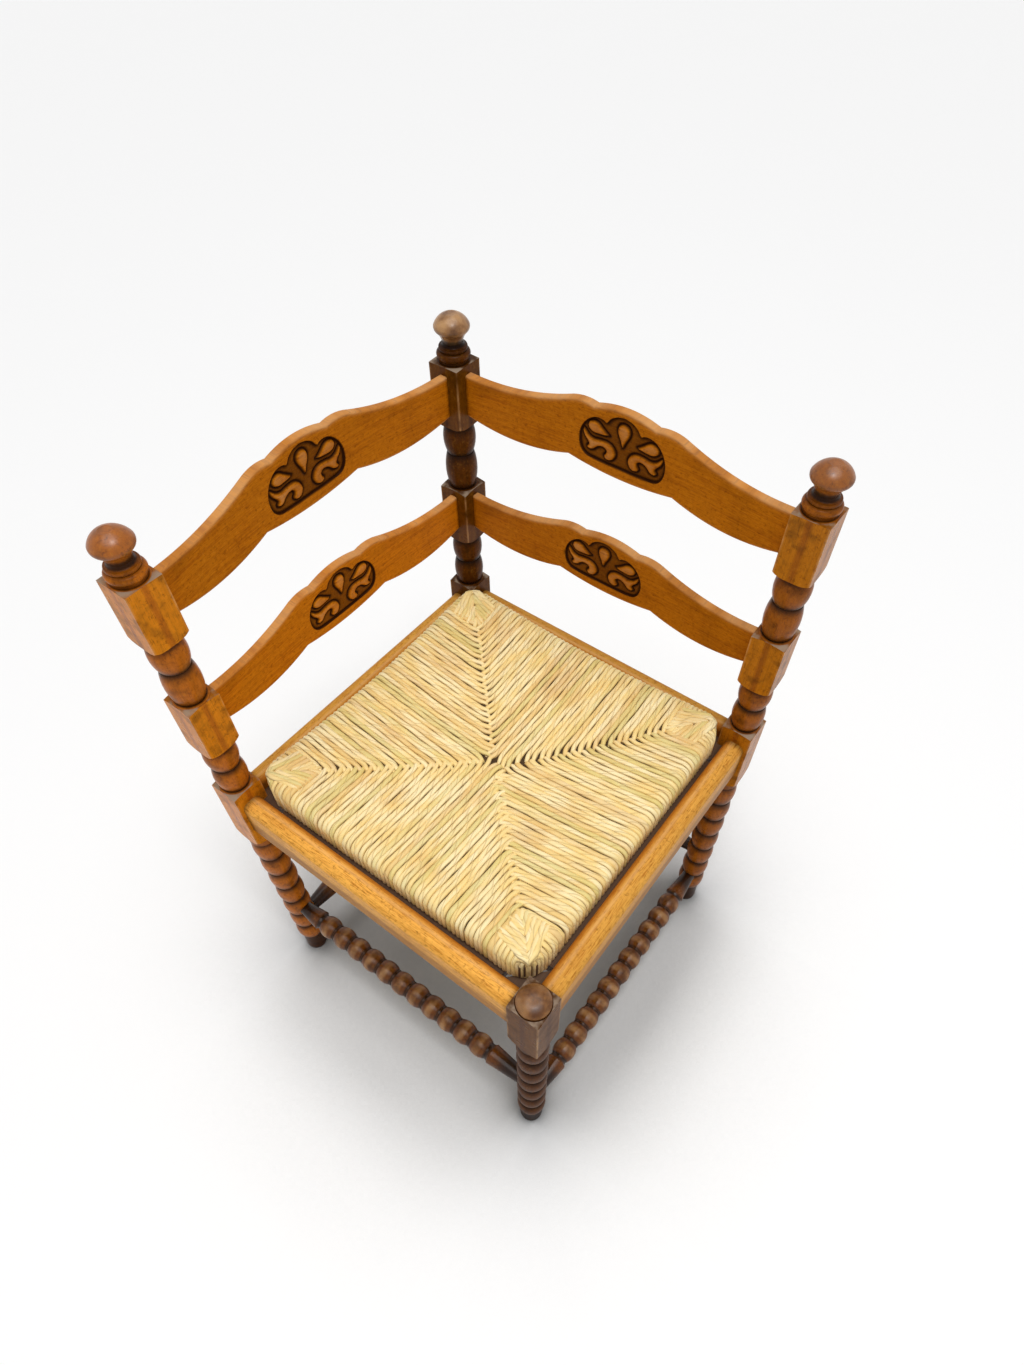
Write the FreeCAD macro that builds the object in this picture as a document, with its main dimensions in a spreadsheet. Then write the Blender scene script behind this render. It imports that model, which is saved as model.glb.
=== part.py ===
import FreeCAD
import Part
import Sketcher
import os

# Corner chair with bobbin-turned posts, four carved and bowed splats and a drop-in rush seat.
# Millimetres, +Z up, feet on Z = 0. The front leg points to -Y, the back post stands at +Y.

doc = FreeCAD.newDocument("corner_chair")
sheet = doc.addObject("Spreadsheet::Sheet", "sizes")
V = FreeCAD.Vector

sizes = {
    # Square plan, and the square stock that posts and leg are turned from
    "post_spacing": 410,
    "block_side": 37.2,
    # Turned legs, from the floor up
    "sole_radius": 12,
    "sole_round": 2.6,
    "foot_radius": 15,
    "ankle_radius": 14.4,
    "ankle_height": 42,
    "ankle_bobbin": 38,
    "leg_pitch": 40,
    "leg_bobbins": 6,
    "leg_bobbin_bulge": 2.7,
    "seat_cup": 13,
    "seat_flare": 25,
    # Nicks and joints of every turned length
    "joint_radius": 15.5,
    "nick_radius": 14.6,
    "nick_half": 1.3,
    "bobbin_radius": 18.4,
    "shoulder_rise": 3.6,
    "cup_radius": 17.2,
    "cup_bulge": 2.4,
    # Heights of the square blocks and of the turned lengths between them
    "seat_block": 76.4,
    "low_bobbin_under": 37,
    "low_bobbin_over": 34,
    "low_cup": 11.6,
    "mid_block": 61.4,
    "high_bobbin_under": 43.4,
    "high_bobbin_over": 34.5,
    "high_cup": 8.6,
    "top_block": 61,
    # Finials: widths, and heights above the top block
    "collar_radius": 17.9,
    "collar_root": 15.8,
    "collar_low": 4.4,
    "collar_high": 11.4,
    "collar_edge": 1.8,
    "ring_radius": 15.2,
    "ring_low": 12.8,
    "ring_high": 16.2,
    "ring_edge": 0.6,
    "neck_radius": 10.7,
    "neck_rise": 20,
    "ball_radius": 18.7,
    "ball_under": 32,
    "ball_over": 36.8,
    "ball_top": 47.4,
    "ball_flat": 6,
    # Domed button on the front leg
    "button_radius": 17.4,
    "button_nick": 0.9,
    "button_edge": 3.4,
    "button_height": 9.2,
    "button_dome": 1.5,
    "button_flat": 5,
    # Seat rails, their tenons and the corner blocks
    "rail_inside": 9.5,
    "rail_outside": 14,
    "rail_lift": 9,
    "rail_height": 51,
    "rail_round_out": 9,
    "rail_round_in": 7,
    "rail_round_low": 3,
    "rail_tenon_thick": 9,
    "rail_shoulder": 8,
    "tenon_reach": 12,
    "fit_gap": 0.1,
    "corner_block_leg": 38,
    "corner_block_height": 24,
    "corner_block_sink": 16.3,
    "cleat_reach": 14,
    "cleat_height": 18,
    "cleat_bevel": 3,
    "cleat_end_gap": 1,
    # Stretchers
    "stretcher_high": 134,
    "stretcher_front_low": 77,
    "stretcher_back_low": 95,
    "stretcher_shift": 7,
    "stretcher_root": 8,
    "stretcher_plain": 59.8,
    "bead_count": 11,
    "bead_radius": 15,
    "bead_end_radius": 11.6,
    "bead_band": 3.4,
    "bead_band_radius": 11.8,
    "bead_core_radius": 10.9,
    "cone_start_radius": 13.4,
    "cone_round": 5,
    "cone_round_bulge": 0.6,
    "cone_end_radius": 9.3,
    # Splats: thickness, bow of each, lift above the underside of their blocks, and outline
    "splat_thick": 10,
    "bow_upper_left": 20,
    "bow_upper_right": 12.5,
    "bow_lower_left": 9.4,
    "bow_lower_right": 6.3,
    "upper_lift": 6.9,
    "lower_lift": 10.4,
    "crown_half": 35,
    "crown_nick": 60.5,
    "crown_rise": 5.5,
    "ear_half": 65,
    "ear_height": 59.5,
    "ear_bulge": 2.2,
    "wing_height": 45.5,
    "wing_dip": 7.8,
    "cusp_half": 62,
    "cusp_drop": 1.5,
    "cusp_arch": 6.5,
    "belly_drop": 10.3,
    "splat_tenon_thick": 6,
    "splat_shoulder": 7.2,
    # Carved panel of a splat, heights from the underside of the wings
    "carve_depth": 2.2,
    "panel_foot_half": 42,
    "panel_foot": 7.8,
    "panel_foot_sag": 2.6,
    "panel_pinch_half": 46,
    "panel_pinch": 20,
    "panel_toe_bulge": 2.6,
    "panel_cusp_half": 14.5,
    "panel_cusp": 50.5,
    "panel_lobe_bulge": 12.3,
    "panel_top_bulge": 10.8,
    # Drop-in seat: rush around a square frame of slips
    "seat_play": 5,
    "seat_corner_play": 4.8,
    "seat_rest_gap": 0.3,
    "seat_middle": 25,
    "seat_dish": 13.5,
    "seat_edge_round": 12,
    "seat_under_round": 7,
    "seat_corner_round": 9,
    "rush_wrap": 4.5,
    "rush_under": 6,
    "slip_width": 26,
    "slip_height": 24,
    "slip_gap": 0.3,
}
for row, (alias, number) in enumerate(sizes.items(), 1):
    sheet.set("A%d" % row, alias)
    sheet.set("B%d" % row, str(number))
    sheet.setAlias("B%d" % row, alias)
doc.recompute()

# Levels and reaches that follow from the sizes
STOCK = "({block_side}*0.75)"
LEG_TOP = "({ankle_height}+{ankle_bobbin}+{leg_pitch}*{leg_bobbins})"
SEAT_BLOCK_LOW = "(%s+{seat_cup}+{seat_flare})" % LEG_TOP
SEAT_BLOCK_TOP = "(%s+{seat_block})" % SEAT_BLOCK_LOW
LOW_JOINT = "(%s+{shoulder_rise}+{low_bobbin_under})" % SEAT_BLOCK_TOP
LOW_CUP = "(%s+{low_bobbin_over})" % LOW_JOINT
MID_BLOCK_LOW = "(%s+{low_cup})" % LOW_CUP
MID_BLOCK_TOP = "(%s+{mid_block})" % MID_BLOCK_LOW
HIGH_JOINT = "(%s+{shoulder_rise}+{high_bobbin_under})" % MID_BLOCK_TOP
HIGH_CUP = "(%s+{high_bobbin_over})" % HIGH_JOINT
TOP_BLOCK_LOW = "(%s+{high_cup})" % HIGH_CUP
TOP_BLOCK_TOP = "(%s+{top_block})" % TOP_BLOCK_LOW
RAIL_LOW = "(%s+{rail_lift})" % SEAT_BLOCK_LOW
RAIL_TOP = "(%s+{rail_height})" % RAIL_LOW
CORNER_BLOCK_TOP = "(%s-{corner_block_sink})" % RAIL_TOP
SEAT_LOW = "(%s+{seat_rest_gap})" % CORNER_BLOCK_TOP
SEAT_MIDDLE = "(%s+{seat_middle})" % SEAT_LOW
SEAT_HALF = "({post_spacing}/2-{rail_inside}-{seat_play})"
SEAT_CORNER = "({post_spacing}-{block_side}-{seat_corner_play}*sqrt(2))"
SLIP_LOW = "(%s+{rush_under})" % SEAT_LOW
SLIP_HALF = "(%s-{rush_wrap})" % SEAT_HALF
SLIP_CORNER = "(%s-{rush_wrap}*sqrt(2))" % SEAT_CORNER
LOWER_SPLAT = "(%s+{lower_lift})" % MID_BLOCK_LOW
UPPER_SPLAT = "(%s+{upper_lift})" % TOP_BLOCK_LOW
SPLAT_END = "(({post_spacing}-{block_side})/2)"
BEAD_PITCH = "(({post_spacing}-2*{stretcher_plain})/{bead_count})"
SIZES = "sizes."


def named(text):
    """Turns {alias} marks into sheet references."""
    return text.replace("{", SIZES).replace("}", "")


def value(text):
    """The present number of an expression over the sheet."""
    found = sheet.evalExpression(named(text))
    return float(getattr(found, "Value", found))


def bind(item, prop, text):
    item.setExpression(prop, named(text))


def body(name, east, north, turn, rise="0"):
    """A part standing at a plan position given by expressions, turned about the vertical."""
    made = doc.addObject("PartDesign::Body", name)
    made.Label = name
    made.Placement.Rotation = FreeCAD.Rotation(V(0, 0, 1), turn)
    bind(made, ".Placement.Base.x", east)
    bind(made, ".Placement.Base.y", north)
    bind(made, ".Placement.Base.z", rise)
    return made


def plane(owner, role):
    for face in owner.Origin.OriginFeatures:
        if face.Role == role:
            return face
    raise ValueError(role)


def sketch(owner, name, role, offset="0"):
    drawn = owner.newObject("Sketcher::SketchObject", owner.Name + "_" + name)
    drawn.AttachmentSupport = (plane(owner, role), [""])
    drawn.MapMode = "FlatFace"
    bind(drawn, ".AttachmentOffset.Base.z", offset)
    return drawn


def pin(drawn, kind, axis, index, end, text):
    """Ties one coordinate of a point to an expression, or to an axis where it is nought."""
    number = value(text)
    if text == "0":
        drawn.addConstraint(Sketcher.Constraint("PointOnObject", index, end, axis))
        return
    if number < 0:
        held = Sketcher.Constraint(kind, index, end, -1, 1, -number)
        text = "-(" + text + ")"
    else:
        held = Sketcher.Constraint(kind, -1, 1, index, end, number)
    place = drawn.addConstraint(held)
    drawn.setExpression("Constraints[%d]" % place, named(text))


def loop(drawn, corners):
    """One closed line. Each corner is (x, y) or (x, y, bulge); a bulge bends the next side to the right."""
    spots = [V(value(c[0]), value(c[1]), 0) for c in corners]
    sides = []
    for index, corner in enumerate(corners):
        start = spots[index]
        stop = spots[(index + 1) % len(corners)]
        ends = (1, 2)
        if len(corner) == 2:
            made = drawn.addGeometry(Part.LineSegment(start, stop))
        else:
            bulge = value(corner[2])
            along = (stop - start).normalize()
            crest = (start + stop) / 2 + V(along.y, -along.x, 0) * bulge
            if bulge < 0:
                start, stop = stop, start
                ends = (2, 1)
            made = drawn.addGeometry(Part.Arc(start, crest, stop))
        sides.append((made, ends[0], ends[1]))
    for index, corner in enumerate(corners):
        made, first, last = sides[index]
        after = sides[(index + 1) % len(corners)]
        drawn.addConstraint(Sketcher.Constraint("Coincident", made, last, after[0], after[1]))
        pin(drawn, "DistanceX", -2, made, first, corner[0])
        pin(drawn, "DistanceY", -1, made, first, corner[1])
        if len(corner) == 3:
            ahead = corners[(index + 1) % len(corners)]
            chord = "((%s)-(%s))^2+((%s)-(%s))^2" % (ahead[0], corner[0], ahead[1], corner[1])
            radius = "(%s)/(8*abs(%s))+abs(%s)/2" % (chord, corner[2], corner[2])
            place = drawn.addConstraint(Sketcher.Constraint("Radius", made, value(radius)))
            drawn.setExpression("Constraints[%d]" % place, named(radius))


def pad(owner, name, drawn, length, both=False):
    made = owner.newObject("PartDesign::Pad", owner.Name + "_" + name)
    made.Profile = drawn
    made.Midplane = both
    bind(made, "Length", length)
    return made


def pocket(owner, name, drawn, length, reversed_cut=False, both=False):
    made = owner.newObject("PartDesign::Pocket", owner.Name + "_" + name)
    made.Profile = drawn
    made.Midplane = both
    made.Reversed = reversed_cut
    bind(made, "Length", length)
    return made


def turned(owner, name, corners):
    """Takes turned waste off the square stock of a post."""
    drawn = sketch(owner, name + "_waste", "XZ_Plane")
    loop(drawn, corners)
    made = owner.newObject("PartDesign::Groove", owner.Name + "_" + name)
    made.Profile = drawn
    made.ReferenceAxis = (drawn, ["V_Axis"])
    made.Angle = 360
    return made


def bobbin(low, high):
    """Barrel between two nicks, followed upwards."""
    return [
        ("{joint_radius}", "(%s)+{nick_half}" % low, "{bobbin_radius}-{joint_radius}"),
        ("{joint_radius}", "(%s)-{nick_half}" % high),
        ("{nick_radius}", high),
    ]


def cup(end, block_low):
    """Rounded underside of a square block."""
    return [
        ("{cup_radius}", "(%s)+{nick_half}" % end, "{cup_bulge}"),
        (STOCK, block_low),
    ]


def turned_gap(owner, name, shoulder, joint, cup_end, block_low):
    """Two bobbins between the top of one block and the underside of the next."""
    foot = "%s+{shoulder_rise}" % shoulder
    corners = [(STOCK, shoulder), ("{nick_radius}", foot)]
    corners += bobbin(foot, joint)
    corners += bobbin(joint, cup_end)
    corners += cup(cup_end, block_low)
    turned(owner, name, corners)


def leg(owner):
    """Row of equal bobbins, a tapering ankle and a small foot below the seat block."""
    one = turned(owner, "leg_bobbin", [
        (STOCK, LEG_TOP + "-{leg_pitch}"),
        ("{nick_radius}", LEG_TOP + "-{leg_pitch}"),
        ("{joint_radius}", LEG_TOP + "-{leg_pitch}+{nick_half}", "{leg_bobbin_bulge}"),
        ("{joint_radius}", LEG_TOP + "-{nick_half}"),
        ("{nick_radius}", LEG_TOP),
        (STOCK, LEG_TOP),
    ])
    row = owner.newObject("PartDesign::LinearPattern", owner.Name + "_leg_row")
    row.Originals = [one]
    row.Direction = (one.Profile[0], ["V_Axis"])
    row.Reversed = True
    bind(row, "Occurrences", "{leg_bobbins}")
    bind(row, "Length", "{leg_pitch}*({leg_bobbins}-1)")
    owner.Tip = row
    turned(owner, "seat_cup", [
        ("{nick_radius}", LEG_TOP),
        ("{cup_radius}", LEG_TOP + "+{nick_half}"),
        ("{cup_radius}", LEG_TOP + "+{seat_cup}", "{cup_bulge}*2"),
        (STOCK, SEAT_BLOCK_LOW),
        (STOCK, LEG_TOP),
    ])
    ankle_top = "({ankle_height}+{ankle_bobbin})"
    below_floor = "-1"
    turned(owner, "foot", [
        ("{sole_radius}", below_floor),
        ("{sole_radius}", "0", "{sole_round}*(1-sqrt(0.5))"),
        ("{sole_radius}+{sole_round}", "{sole_round}"),
        ("{foot_radius}", "{sole_round}*3"),
        ("{ankle_radius}", "{ankle_height}-{nick_half}"),
        ("{ankle_radius}-{nick_half}", "{ankle_height}"),
        ("{ankle_radius}+{nick_half}", "{ankle_height}+{nick_half}", "{leg_bobbin_bulge}"),
        ("{joint_radius}", ankle_top + "-{nick_half}"),
        ("{nick_radius}", ankle_top),
        (STOCK, ankle_top),
        (STOCK, below_floor),
    ])


def finial(owner):
    """Collar, thin ring, coved neck and flattened ball on a tall post."""
    top = TOP_BLOCK_TOP
    turned(owner, "finial", [
        (STOCK, top),
        ("{collar_root}", top + "+{nick_half}/2"),
        ("{collar_root}", top + "+{collar_low}-{nick_half}"),
        ("{collar_radius}-{collar_edge}", top + "+{collar_low}", "{collar_edge}"),
        ("{collar_radius}-{collar_edge}", top + "+{collar_high}"),
        ("{ring_radius}-2*{ring_edge}", top + "+{ring_low}-{ring_edge}"),
        ("{ring_radius}-{ring_edge}", top + "+{ring_low}", "{ring_edge}"),
        ("{ring_radius}-{ring_edge}", top + "+{ring_high}", "-{ring_edge}*2"),
        ("{neck_radius}", top + "+{neck_rise}", "-{ring_edge}*2"),
        ("{ball_radius}-2*{ring_edge}", top + "+{ball_under}", "{ring_edge}"),
        ("{ball_radius}-{ring_edge}/2", top + "+{ball_over}", "{ring_edge}*3"),
        ("{ball_flat}", top + "+{ball_top}"),
        ("{ball_flat}", top + "+{ball_top}+1"),
        (STOCK, top + "+{ball_top}+1"),
    ])


def button(owner):
    """Low domed button with a nick round its foot on top of the front leg."""
    top = SEAT_BLOCK_TOP
    turned(owner, "button", [
        (STOCK, top),
        ("{button_radius}+{button_nick}", top + "+{button_nick}/2"),
        ("{button_radius}", top + "-{button_nick}"),
        ("{button_radius}", top + "+{button_edge}", "{button_dome}"),
        ("{button_flat}", top + "+{button_height}"),
        ("{button_flat}", top + "+{button_height}+1"),
        (STOCK, top + "+{button_height}+1"),
    ])


def mortise(owner, name, side, half, low, high, reach):
    """Square-edged pocket in the x or y face of a post block."""
    role = "YZ_Plane" if side == "x" else "XZ_Plane"
    face = "{block_side}/2" if side == "x" else "-{block_side}/2"
    drawn = sketch(owner, name + "_outline", role, face)
    loop(drawn, [
        ("-(%s)" % half, low),
        (half, low),
        (half, high),
        ("-(%s)" % half, high),
    ])
    pocket(owner, name, drawn, reach, reversed_cut=(side == "y"))


def socket(owner, name, side, height):
    """Round hole in a leg for the end of a stretcher."""
    role = "YZ_Plane" if side == "x" else "XZ_Plane"
    start = "{stretcher_root}-{fit_gap}" if side == "x" else "-({stretcher_root}-{fit_gap})"
    radius = "{cone_end_radius}+{fit_gap}"
    drawn = sketch(owner, name + "_ring", role, start)
    ring = drawn.addGeometry(Part.Circle(V(0, value(height), 0), V(0, 0, 1), value(radius)))
    drawn.addConstraint(Sketcher.Constraint("PointOnObject", ring, 3, -2))
    pin(drawn, "DistanceY", -1, ring, 3, height)
    place = drawn.addConstraint(Sketcher.Constraint("Radius", ring, value(radius)))
    drawn.setExpression("Constraints[%d]" % place, named(radius))
    pocket(owner, name, drawn, STOCK, reversed_cut=(side == "x"))


def post(name, east, north, turn, holes, splat_sides):
    """One post or leg; its two joined faces look along its own x and y."""
    made = body(name, east, north, turn)
    stock = sketch(made, "stock", "XY_Plane")
    half = "{block_side}/2"
    loop(stock, [("-" + half, "-" + half), (half, "-" + half), (half, half), ("-" + half, half)])
    height = TOP_BLOCK_TOP + "+{ball_top}" if splat_sides else SEAT_BLOCK_TOP + "+{button_height}"
    pad(made, "square", stock, height)
    leg(made)
    if splat_sides:
        turned_gap(made, "low_gap", SEAT_BLOCK_TOP, LOW_JOINT, LOW_CUP, MID_BLOCK_LOW)
        turned_gap(made, "high_gap", MID_BLOCK_TOP, HIGH_JOINT, HIGH_CUP, TOP_BLOCK_LOW)
        finial(made)
    else:
        button(made)
    rail_half = "{rail_tenon_thick}/2+{fit_gap}"
    splat_half = "{splat_tenon_thick}/2+{fit_gap}"
    reach = "{tenon_reach}+{fit_gap}"
    for side in "xy":
        low = RAIL_LOW + "+{rail_shoulder}-{fit_gap}"
        high = RAIL_TOP + "-{rail_shoulder}+{fit_gap}"
        mortise(made, "rail_mortise_" + side, side, rail_half, low, high, reach)
        socket(made, "stretcher_hole_" + side, side, holes[side])
    for side in splat_sides:
        for storey, level in (("low", LOWER_SPLAT), ("high", UPPER_SPLAT)):
            low = level + "+{splat_shoulder}-{fit_gap}"
            high = level + "+{wing_height}-{splat_shoulder}+{fit_gap}"
            mortise(made, "splat_mortise_%s_%s" % (storey, side), side, splat_half, low, high, reach)
    return made


def rail(name, east, north, turn):
    """Seat rail with a rounded top and a tenon at each end; its own y looks outwards."""
    made = body(name, east, north, turn)
    drawn = sketch(made, "section", "YZ_Plane")
    quarter = "*(1-sqrt(0.5))"
    loop(drawn, [
        ("-{rail_inside}+{rail_round_low}", RAIL_LOW),
        ("{rail_outside}-{rail_round_low}", RAIL_LOW, "{rail_round_low}" + quarter),
        ("{rail_outside}", RAIL_LOW + "+{rail_round_low}"),
        ("{rail_outside}", RAIL_TOP + "-{rail_round_out}", "{rail_round_out}" + quarter),
        ("{rail_outside}-{rail_round_out}", RAIL_TOP),
        ("-{rail_inside}+{rail_round_in}", RAIL_TOP, "{rail_round_in}" + quarter),
        ("-{rail_inside}", RAIL_TOP + "-{rail_round_in}"),
        ("-{rail_inside}", RAIL_LOW + "+{rail_round_low}", "{rail_round_low}" + quarter),
    ])
    pad(made, "length", drawn, "{post_spacing}-{block_side}", both=True)
    tenon = sketch(made, "tenon_section", "YZ_Plane")
    half = "{rail_tenon_thick}/2"
    loop(tenon, [
        ("-" + half, RAIL_LOW + "+{rail_shoulder}"),
        (half, RAIL_LOW + "+{rail_shoulder}"),
        (half, RAIL_TOP + "-{rail_shoulder}"),
        ("-" + half, RAIL_TOP + "-{rail_shoulder}"),
    ])
    pad(made, "tenons", tenon, "{post_spacing}-{block_side}+2*{tenon_reach}", both=True)
    return made


def corner_block(name, east, north, turn):
    """Glued block in a corner of the seat frame that carries the drop-in seat."""
    made = body(name, east, north, turn)
    drawn = sketch(made, "plan", "XY_Plane", CORNER_BLOCK_TOP + "-{corner_block_height}")
    half = "{block_side}/2"
    far = "{rail_inside}+{corner_block_leg}"
    loop(drawn, [
        (half, "{rail_inside}"),
        (far, "{rail_inside}"),
        ("{rail_inside}", far),
        ("{rail_inside}", half),
        (half, half),
    ])
    pad(made, "height", drawn, "{corner_block_height}")
    return made


def cleat(name, east, north, turn):
    """Strip on the inside of a rail, between the corner blocks, that carries the edge of the seat."""
    made = body(name, east, north, turn)
    drawn = sketch(made, "section", "YZ_Plane")
    inner = "-({rail_inside}+{cleat_reach})"
    loop(drawn, [
        (inner + "+{cleat_bevel}", CORNER_BLOCK_TOP + "-{cleat_height}"),
        ("-{rail_inside}", CORNER_BLOCK_TOP + "-{cleat_height}"),
        ("-{rail_inside}", CORNER_BLOCK_TOP),
        (inner, CORNER_BLOCK_TOP),
        (inner, CORNER_BLOCK_TOP + "-{cleat_height}+{cleat_bevel}"),
    ])
    far = "({rail_inside}+{corner_block_leg}+{cleat_end_gap})"
    pad(made, "length", drawn, "{post_spacing}-2*%s" % far, both=True)
    return made


def stretcher(name, east, north, turn, height, shift):
    """Beaded stretcher between two legs, with plain tapering ends let into the legs."""
    made = body(name, east, north, turn, height)
    end = "({post_spacing}/2-{stretcher_root})"
    leg_face = "({post_spacing}/2-{bobbin_radius})"
    run = "(%s*{bead_count}/2)" % BEAD_PITCH
    left = "(%s)-%s" % (shift, run)
    right = "(%s)+%s" % (shift, run)
    core = sketch(made, "core_profile", "XZ_Plane")
    loop(core, [
        ("-" + end, "0"),
        (end, "0"),
        (end, "{cone_end_radius}"),
        (leg_face, "{cone_end_radius}"),
        ("%s+{cone_round}" % right, "{cone_start_radius}", "-{cone_round_bulge}"),
        (right, "{bead_core_radius}"),
        (left, "{bead_core_radius}", "-{cone_round_bulge}"),
        ("%s-{cone_round}" % left, "{cone_start_radius}"),
        ("-" + leg_face, "{cone_end_radius}"),
        ("-" + end, "{cone_end_radius}"),
    ])
    shaft = made.newObject("PartDesign::Revolution", name + "_core")
    shaft.Profile = core
    shaft.ReferenceAxis = (core, ["H_Axis"])
    shaft.Angle = 360
    bead = sketch(made, "bead_profile", "XZ_Plane")
    begin = "%s+{bead_band}/2" % left
    finish = "%s+%s-{bead_band}/2" % (left, BEAD_PITCH)
    loop(bead, [
        (begin, "0"),
        (finish, "0"),
        (finish, "{bead_end_radius}", "{bead_radius}-{bead_end_radius}"),
        (begin, "{bead_end_radius}"),
    ])
    drop = made.newObject("PartDesign::Revolution", name + "_bead")
    drop.Profile = bead
    drop.ReferenceAxis = (bead, ["H_Axis"])
    drop.Angle = 360
    row = made.newObject("PartDesign::LinearPattern", name + "_bead_row")
    row.Originals = [drop]
    row.Direction = (bead, ["H_Axis"])
    bind(row, "Occurrences", "{bead_count}")
    bind(row, "Length", "%s*({bead_count}-1)" % BEAD_PITCH)
    made.Tip = row
    band = sketch(made, "band_profile", "XZ_Plane")
    middle = "%s+%s" % (left, BEAD_PITCH)
    loop(band, [
        ("%s-{bead_band}/5" % middle, "0"),
        ("%s+{bead_band}/5" % middle, "0"),
        ("%s+{bead_band}/5" % middle, "{bead_band_radius}"),
        ("%s-{bead_band}/5" % middle, "{bead_band_radius}"),
    ])
    ring = made.newObject("PartDesign::Revolution", name + "_band")
    ring.Profile = band
    ring.ReferenceAxis = (band, ["H_Axis"])
    ring.Angle = 360
    rings = made.newObject("PartDesign::LinearPattern", name + "_band_row")
    rings.Originals = [ring]
    rings.Direction = (band, ["H_Axis"])
    bind(rings, "Occurrences", "{bead_count}-1")
    bind(rings, "Length", "%s*({bead_count}-2)" % BEAD_PITCH)
    made.Tip = rings
    return made


def mirrored(corners):
    """The same closed line on the other side of the middle, followed the same way round."""
    swapped = []
    for index in range(len(corners) - 1, -1, -1):
        corner = corners[index]
        before = corners[index - 1]
        swapped.append(("-(%s)" % corner[0], corner[1]) + tuple(before[2:]))
    return swapped


def leaf(*corners):
    """Raised leaf, its points in hundredths of the panel's half width and height."""
    drawn = []
    for corner in corners:
        across = "%g*{panel_pinch_half}/100" % corner[0]
        up = "%g*{panel_cusp}/100" % corner[1]
        drawn.append((across, up) + tuple("%g*{panel_cusp}/100" % bulge for bulge in corner[2:]))
    return drawn


def splat(name, east, north, turn, level, bow):
    """Bowed and shaped back board with a carved panel on the face that looks at the seat."""
    made = body(name, east, north, turn, level)
    half = "{splat_thick}/2"
    crown = "{crown_nick}+2*{crown_rise}"
    bottom = "-{belly_drop}-{cusp_drop}"
    plan = sketch(made, "plan", "XY_Plane", bottom)
    loop(plan, [
        ("-" + SPLAT_END, "-" + half, "-" + bow),
        (SPLAT_END, "-" + half),
        (SPLAT_END, half, bow),
        ("-" + SPLAT_END, half),
    ])
    pad(made, "board", plan, "%s-(%s)" % (crown, bottom))
    outline = sketch(made, "outline", "XZ_Plane")
    beyond = SPLAT_END + "+{splat_thick}/2"
    loop(outline, [
        ("-{cusp_half}", "-{cusp_drop}", "{cusp_arch}"),
        ("{cusp_half}", "-{cusp_drop}", "{belly_drop}"),
        (SPLAT_END, "0"),
        (beyond, "0"),
        (beyond, "{wing_height}"),
        (SPLAT_END, "{wing_height}", "-{wing_dip}"),
        ("{ear_half}", "{ear_height}", "{ear_bulge}"),
        ("{crown_half}", "{crown_nick}", "{crown_rise}"),
        ("-{crown_half}", "{crown_nick}", "{ear_bulge}"),
        ("-{ear_half}", "{ear_height}", "-{wing_dip}"),
        ("-" + SPLAT_END, "{wing_height}"),
        ("-(%s)" % beyond, "{wing_height}"),
        ("-(%s)" % beyond, "0"),
        ("-" + SPLAT_END, "0", "{belly_drop}"),
    ])
    rim = SPLAT_END + "+2*{splat_thick}"
    rim_low = "-2*({belly_drop}+{cusp_drop})"
    rim_high = "{crown_nick}+4*{crown_rise}"
    loop(outline, [
        ("-(%s)" % rim, rim_low),
        (rim, rim_low),
        (rim, rim_high),
        ("-(%s)" % rim, rim_high),
    ])
    pocket(made, "shaped", outline, "4*({splat_thick}+%s)" % bow, both=True)
    bury = "{splat_thick}/5"
    thick = "{splat_tenon_thick}/2"
    section = [
        ("-" + thick, "{splat_shoulder}"),
        (thick, "{splat_shoulder}"),
        (thick, "{wing_height}-{splat_shoulder}"),
        ("-" + thick, "{wing_height}-{splat_shoulder}"),
    ]
    for hand, start in (("right", SPLAT_END + "-" + bury), ("left", "-" + SPLAT_END + "-{tenon_reach}")):
        tenon = sketch(made, "tenon_section_" + hand, "YZ_Plane", start)
        loop(tenon, section)
        pad(made, "tenon_" + hand, tenon, "{tenon_reach}+" + bury)
    floor = "-(%s-{splat_thick}/2+{carve_depth})" % bow
    carving = sketch(made, "carving", "XZ_Plane", floor)
    loop(carving, [
        ("-{panel_foot_half}", "{panel_foot}", "{panel_foot_sag}"),
        ("{panel_foot_half}", "{panel_foot}", "{panel_toe_bulge}"),
        ("{panel_pinch_half}", "{panel_pinch}", "{panel_lobe_bulge}"),
        ("{panel_cusp_half}", "{panel_cusp}", "{panel_top_bulge}"),
        ("-{panel_cusp_half}", "{panel_cusp}", "{panel_lobe_bulge}"),
        ("-{panel_pinch_half}", "{panel_pinch}", "{panel_toe_bulge}"),
    ])
    loop(carving, leaf((0, 58), (13, 92, 14), (-13, 92)))
    petal = leaf((22, 66), (66, 74, 12.5), (48, 96))
    scroll = leaf((14, 28, 8), (35, 21, -5), (33, 37), (50, 40.5), (65, 23, 6), (80, 32), (73, 42.5),
                  (89, 66, -4), (33, 55.5, 6))
    for side in (petal, scroll):
        loop(carving, side)
        loop(carving, mirrored(side))
    pocket(made, "carved", carving, "3*{splat_thick}", reversed_cut=True)
    return made


def slip_rail(name, turn):
    """One mitred rail of the seat's own frame, wrapped by the rush; its corners are cut."""
    made = body(name, "0", "0", turn)
    drawn = sketch(made, "plan", "XY_Plane", SLIP_LOW)
    inner = "(%s-{slip_width})" % SLIP_HALF
    mitre = "(%s/2)" % SLIP_CORNER
    tip = "(%s-%s)" % (SLIP_CORNER, SLIP_HALF)
    loop(drawn, [
        ("-" + inner, inner),
        (inner, inner),
        (mitre, mitre),
        (tip, SLIP_HALF),
        ("-" + tip, SLIP_HALF),
        ("-" + mitre, mitre),
    ])
    pad(made, "height", drawn, "{slip_height}")
    return made


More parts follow.
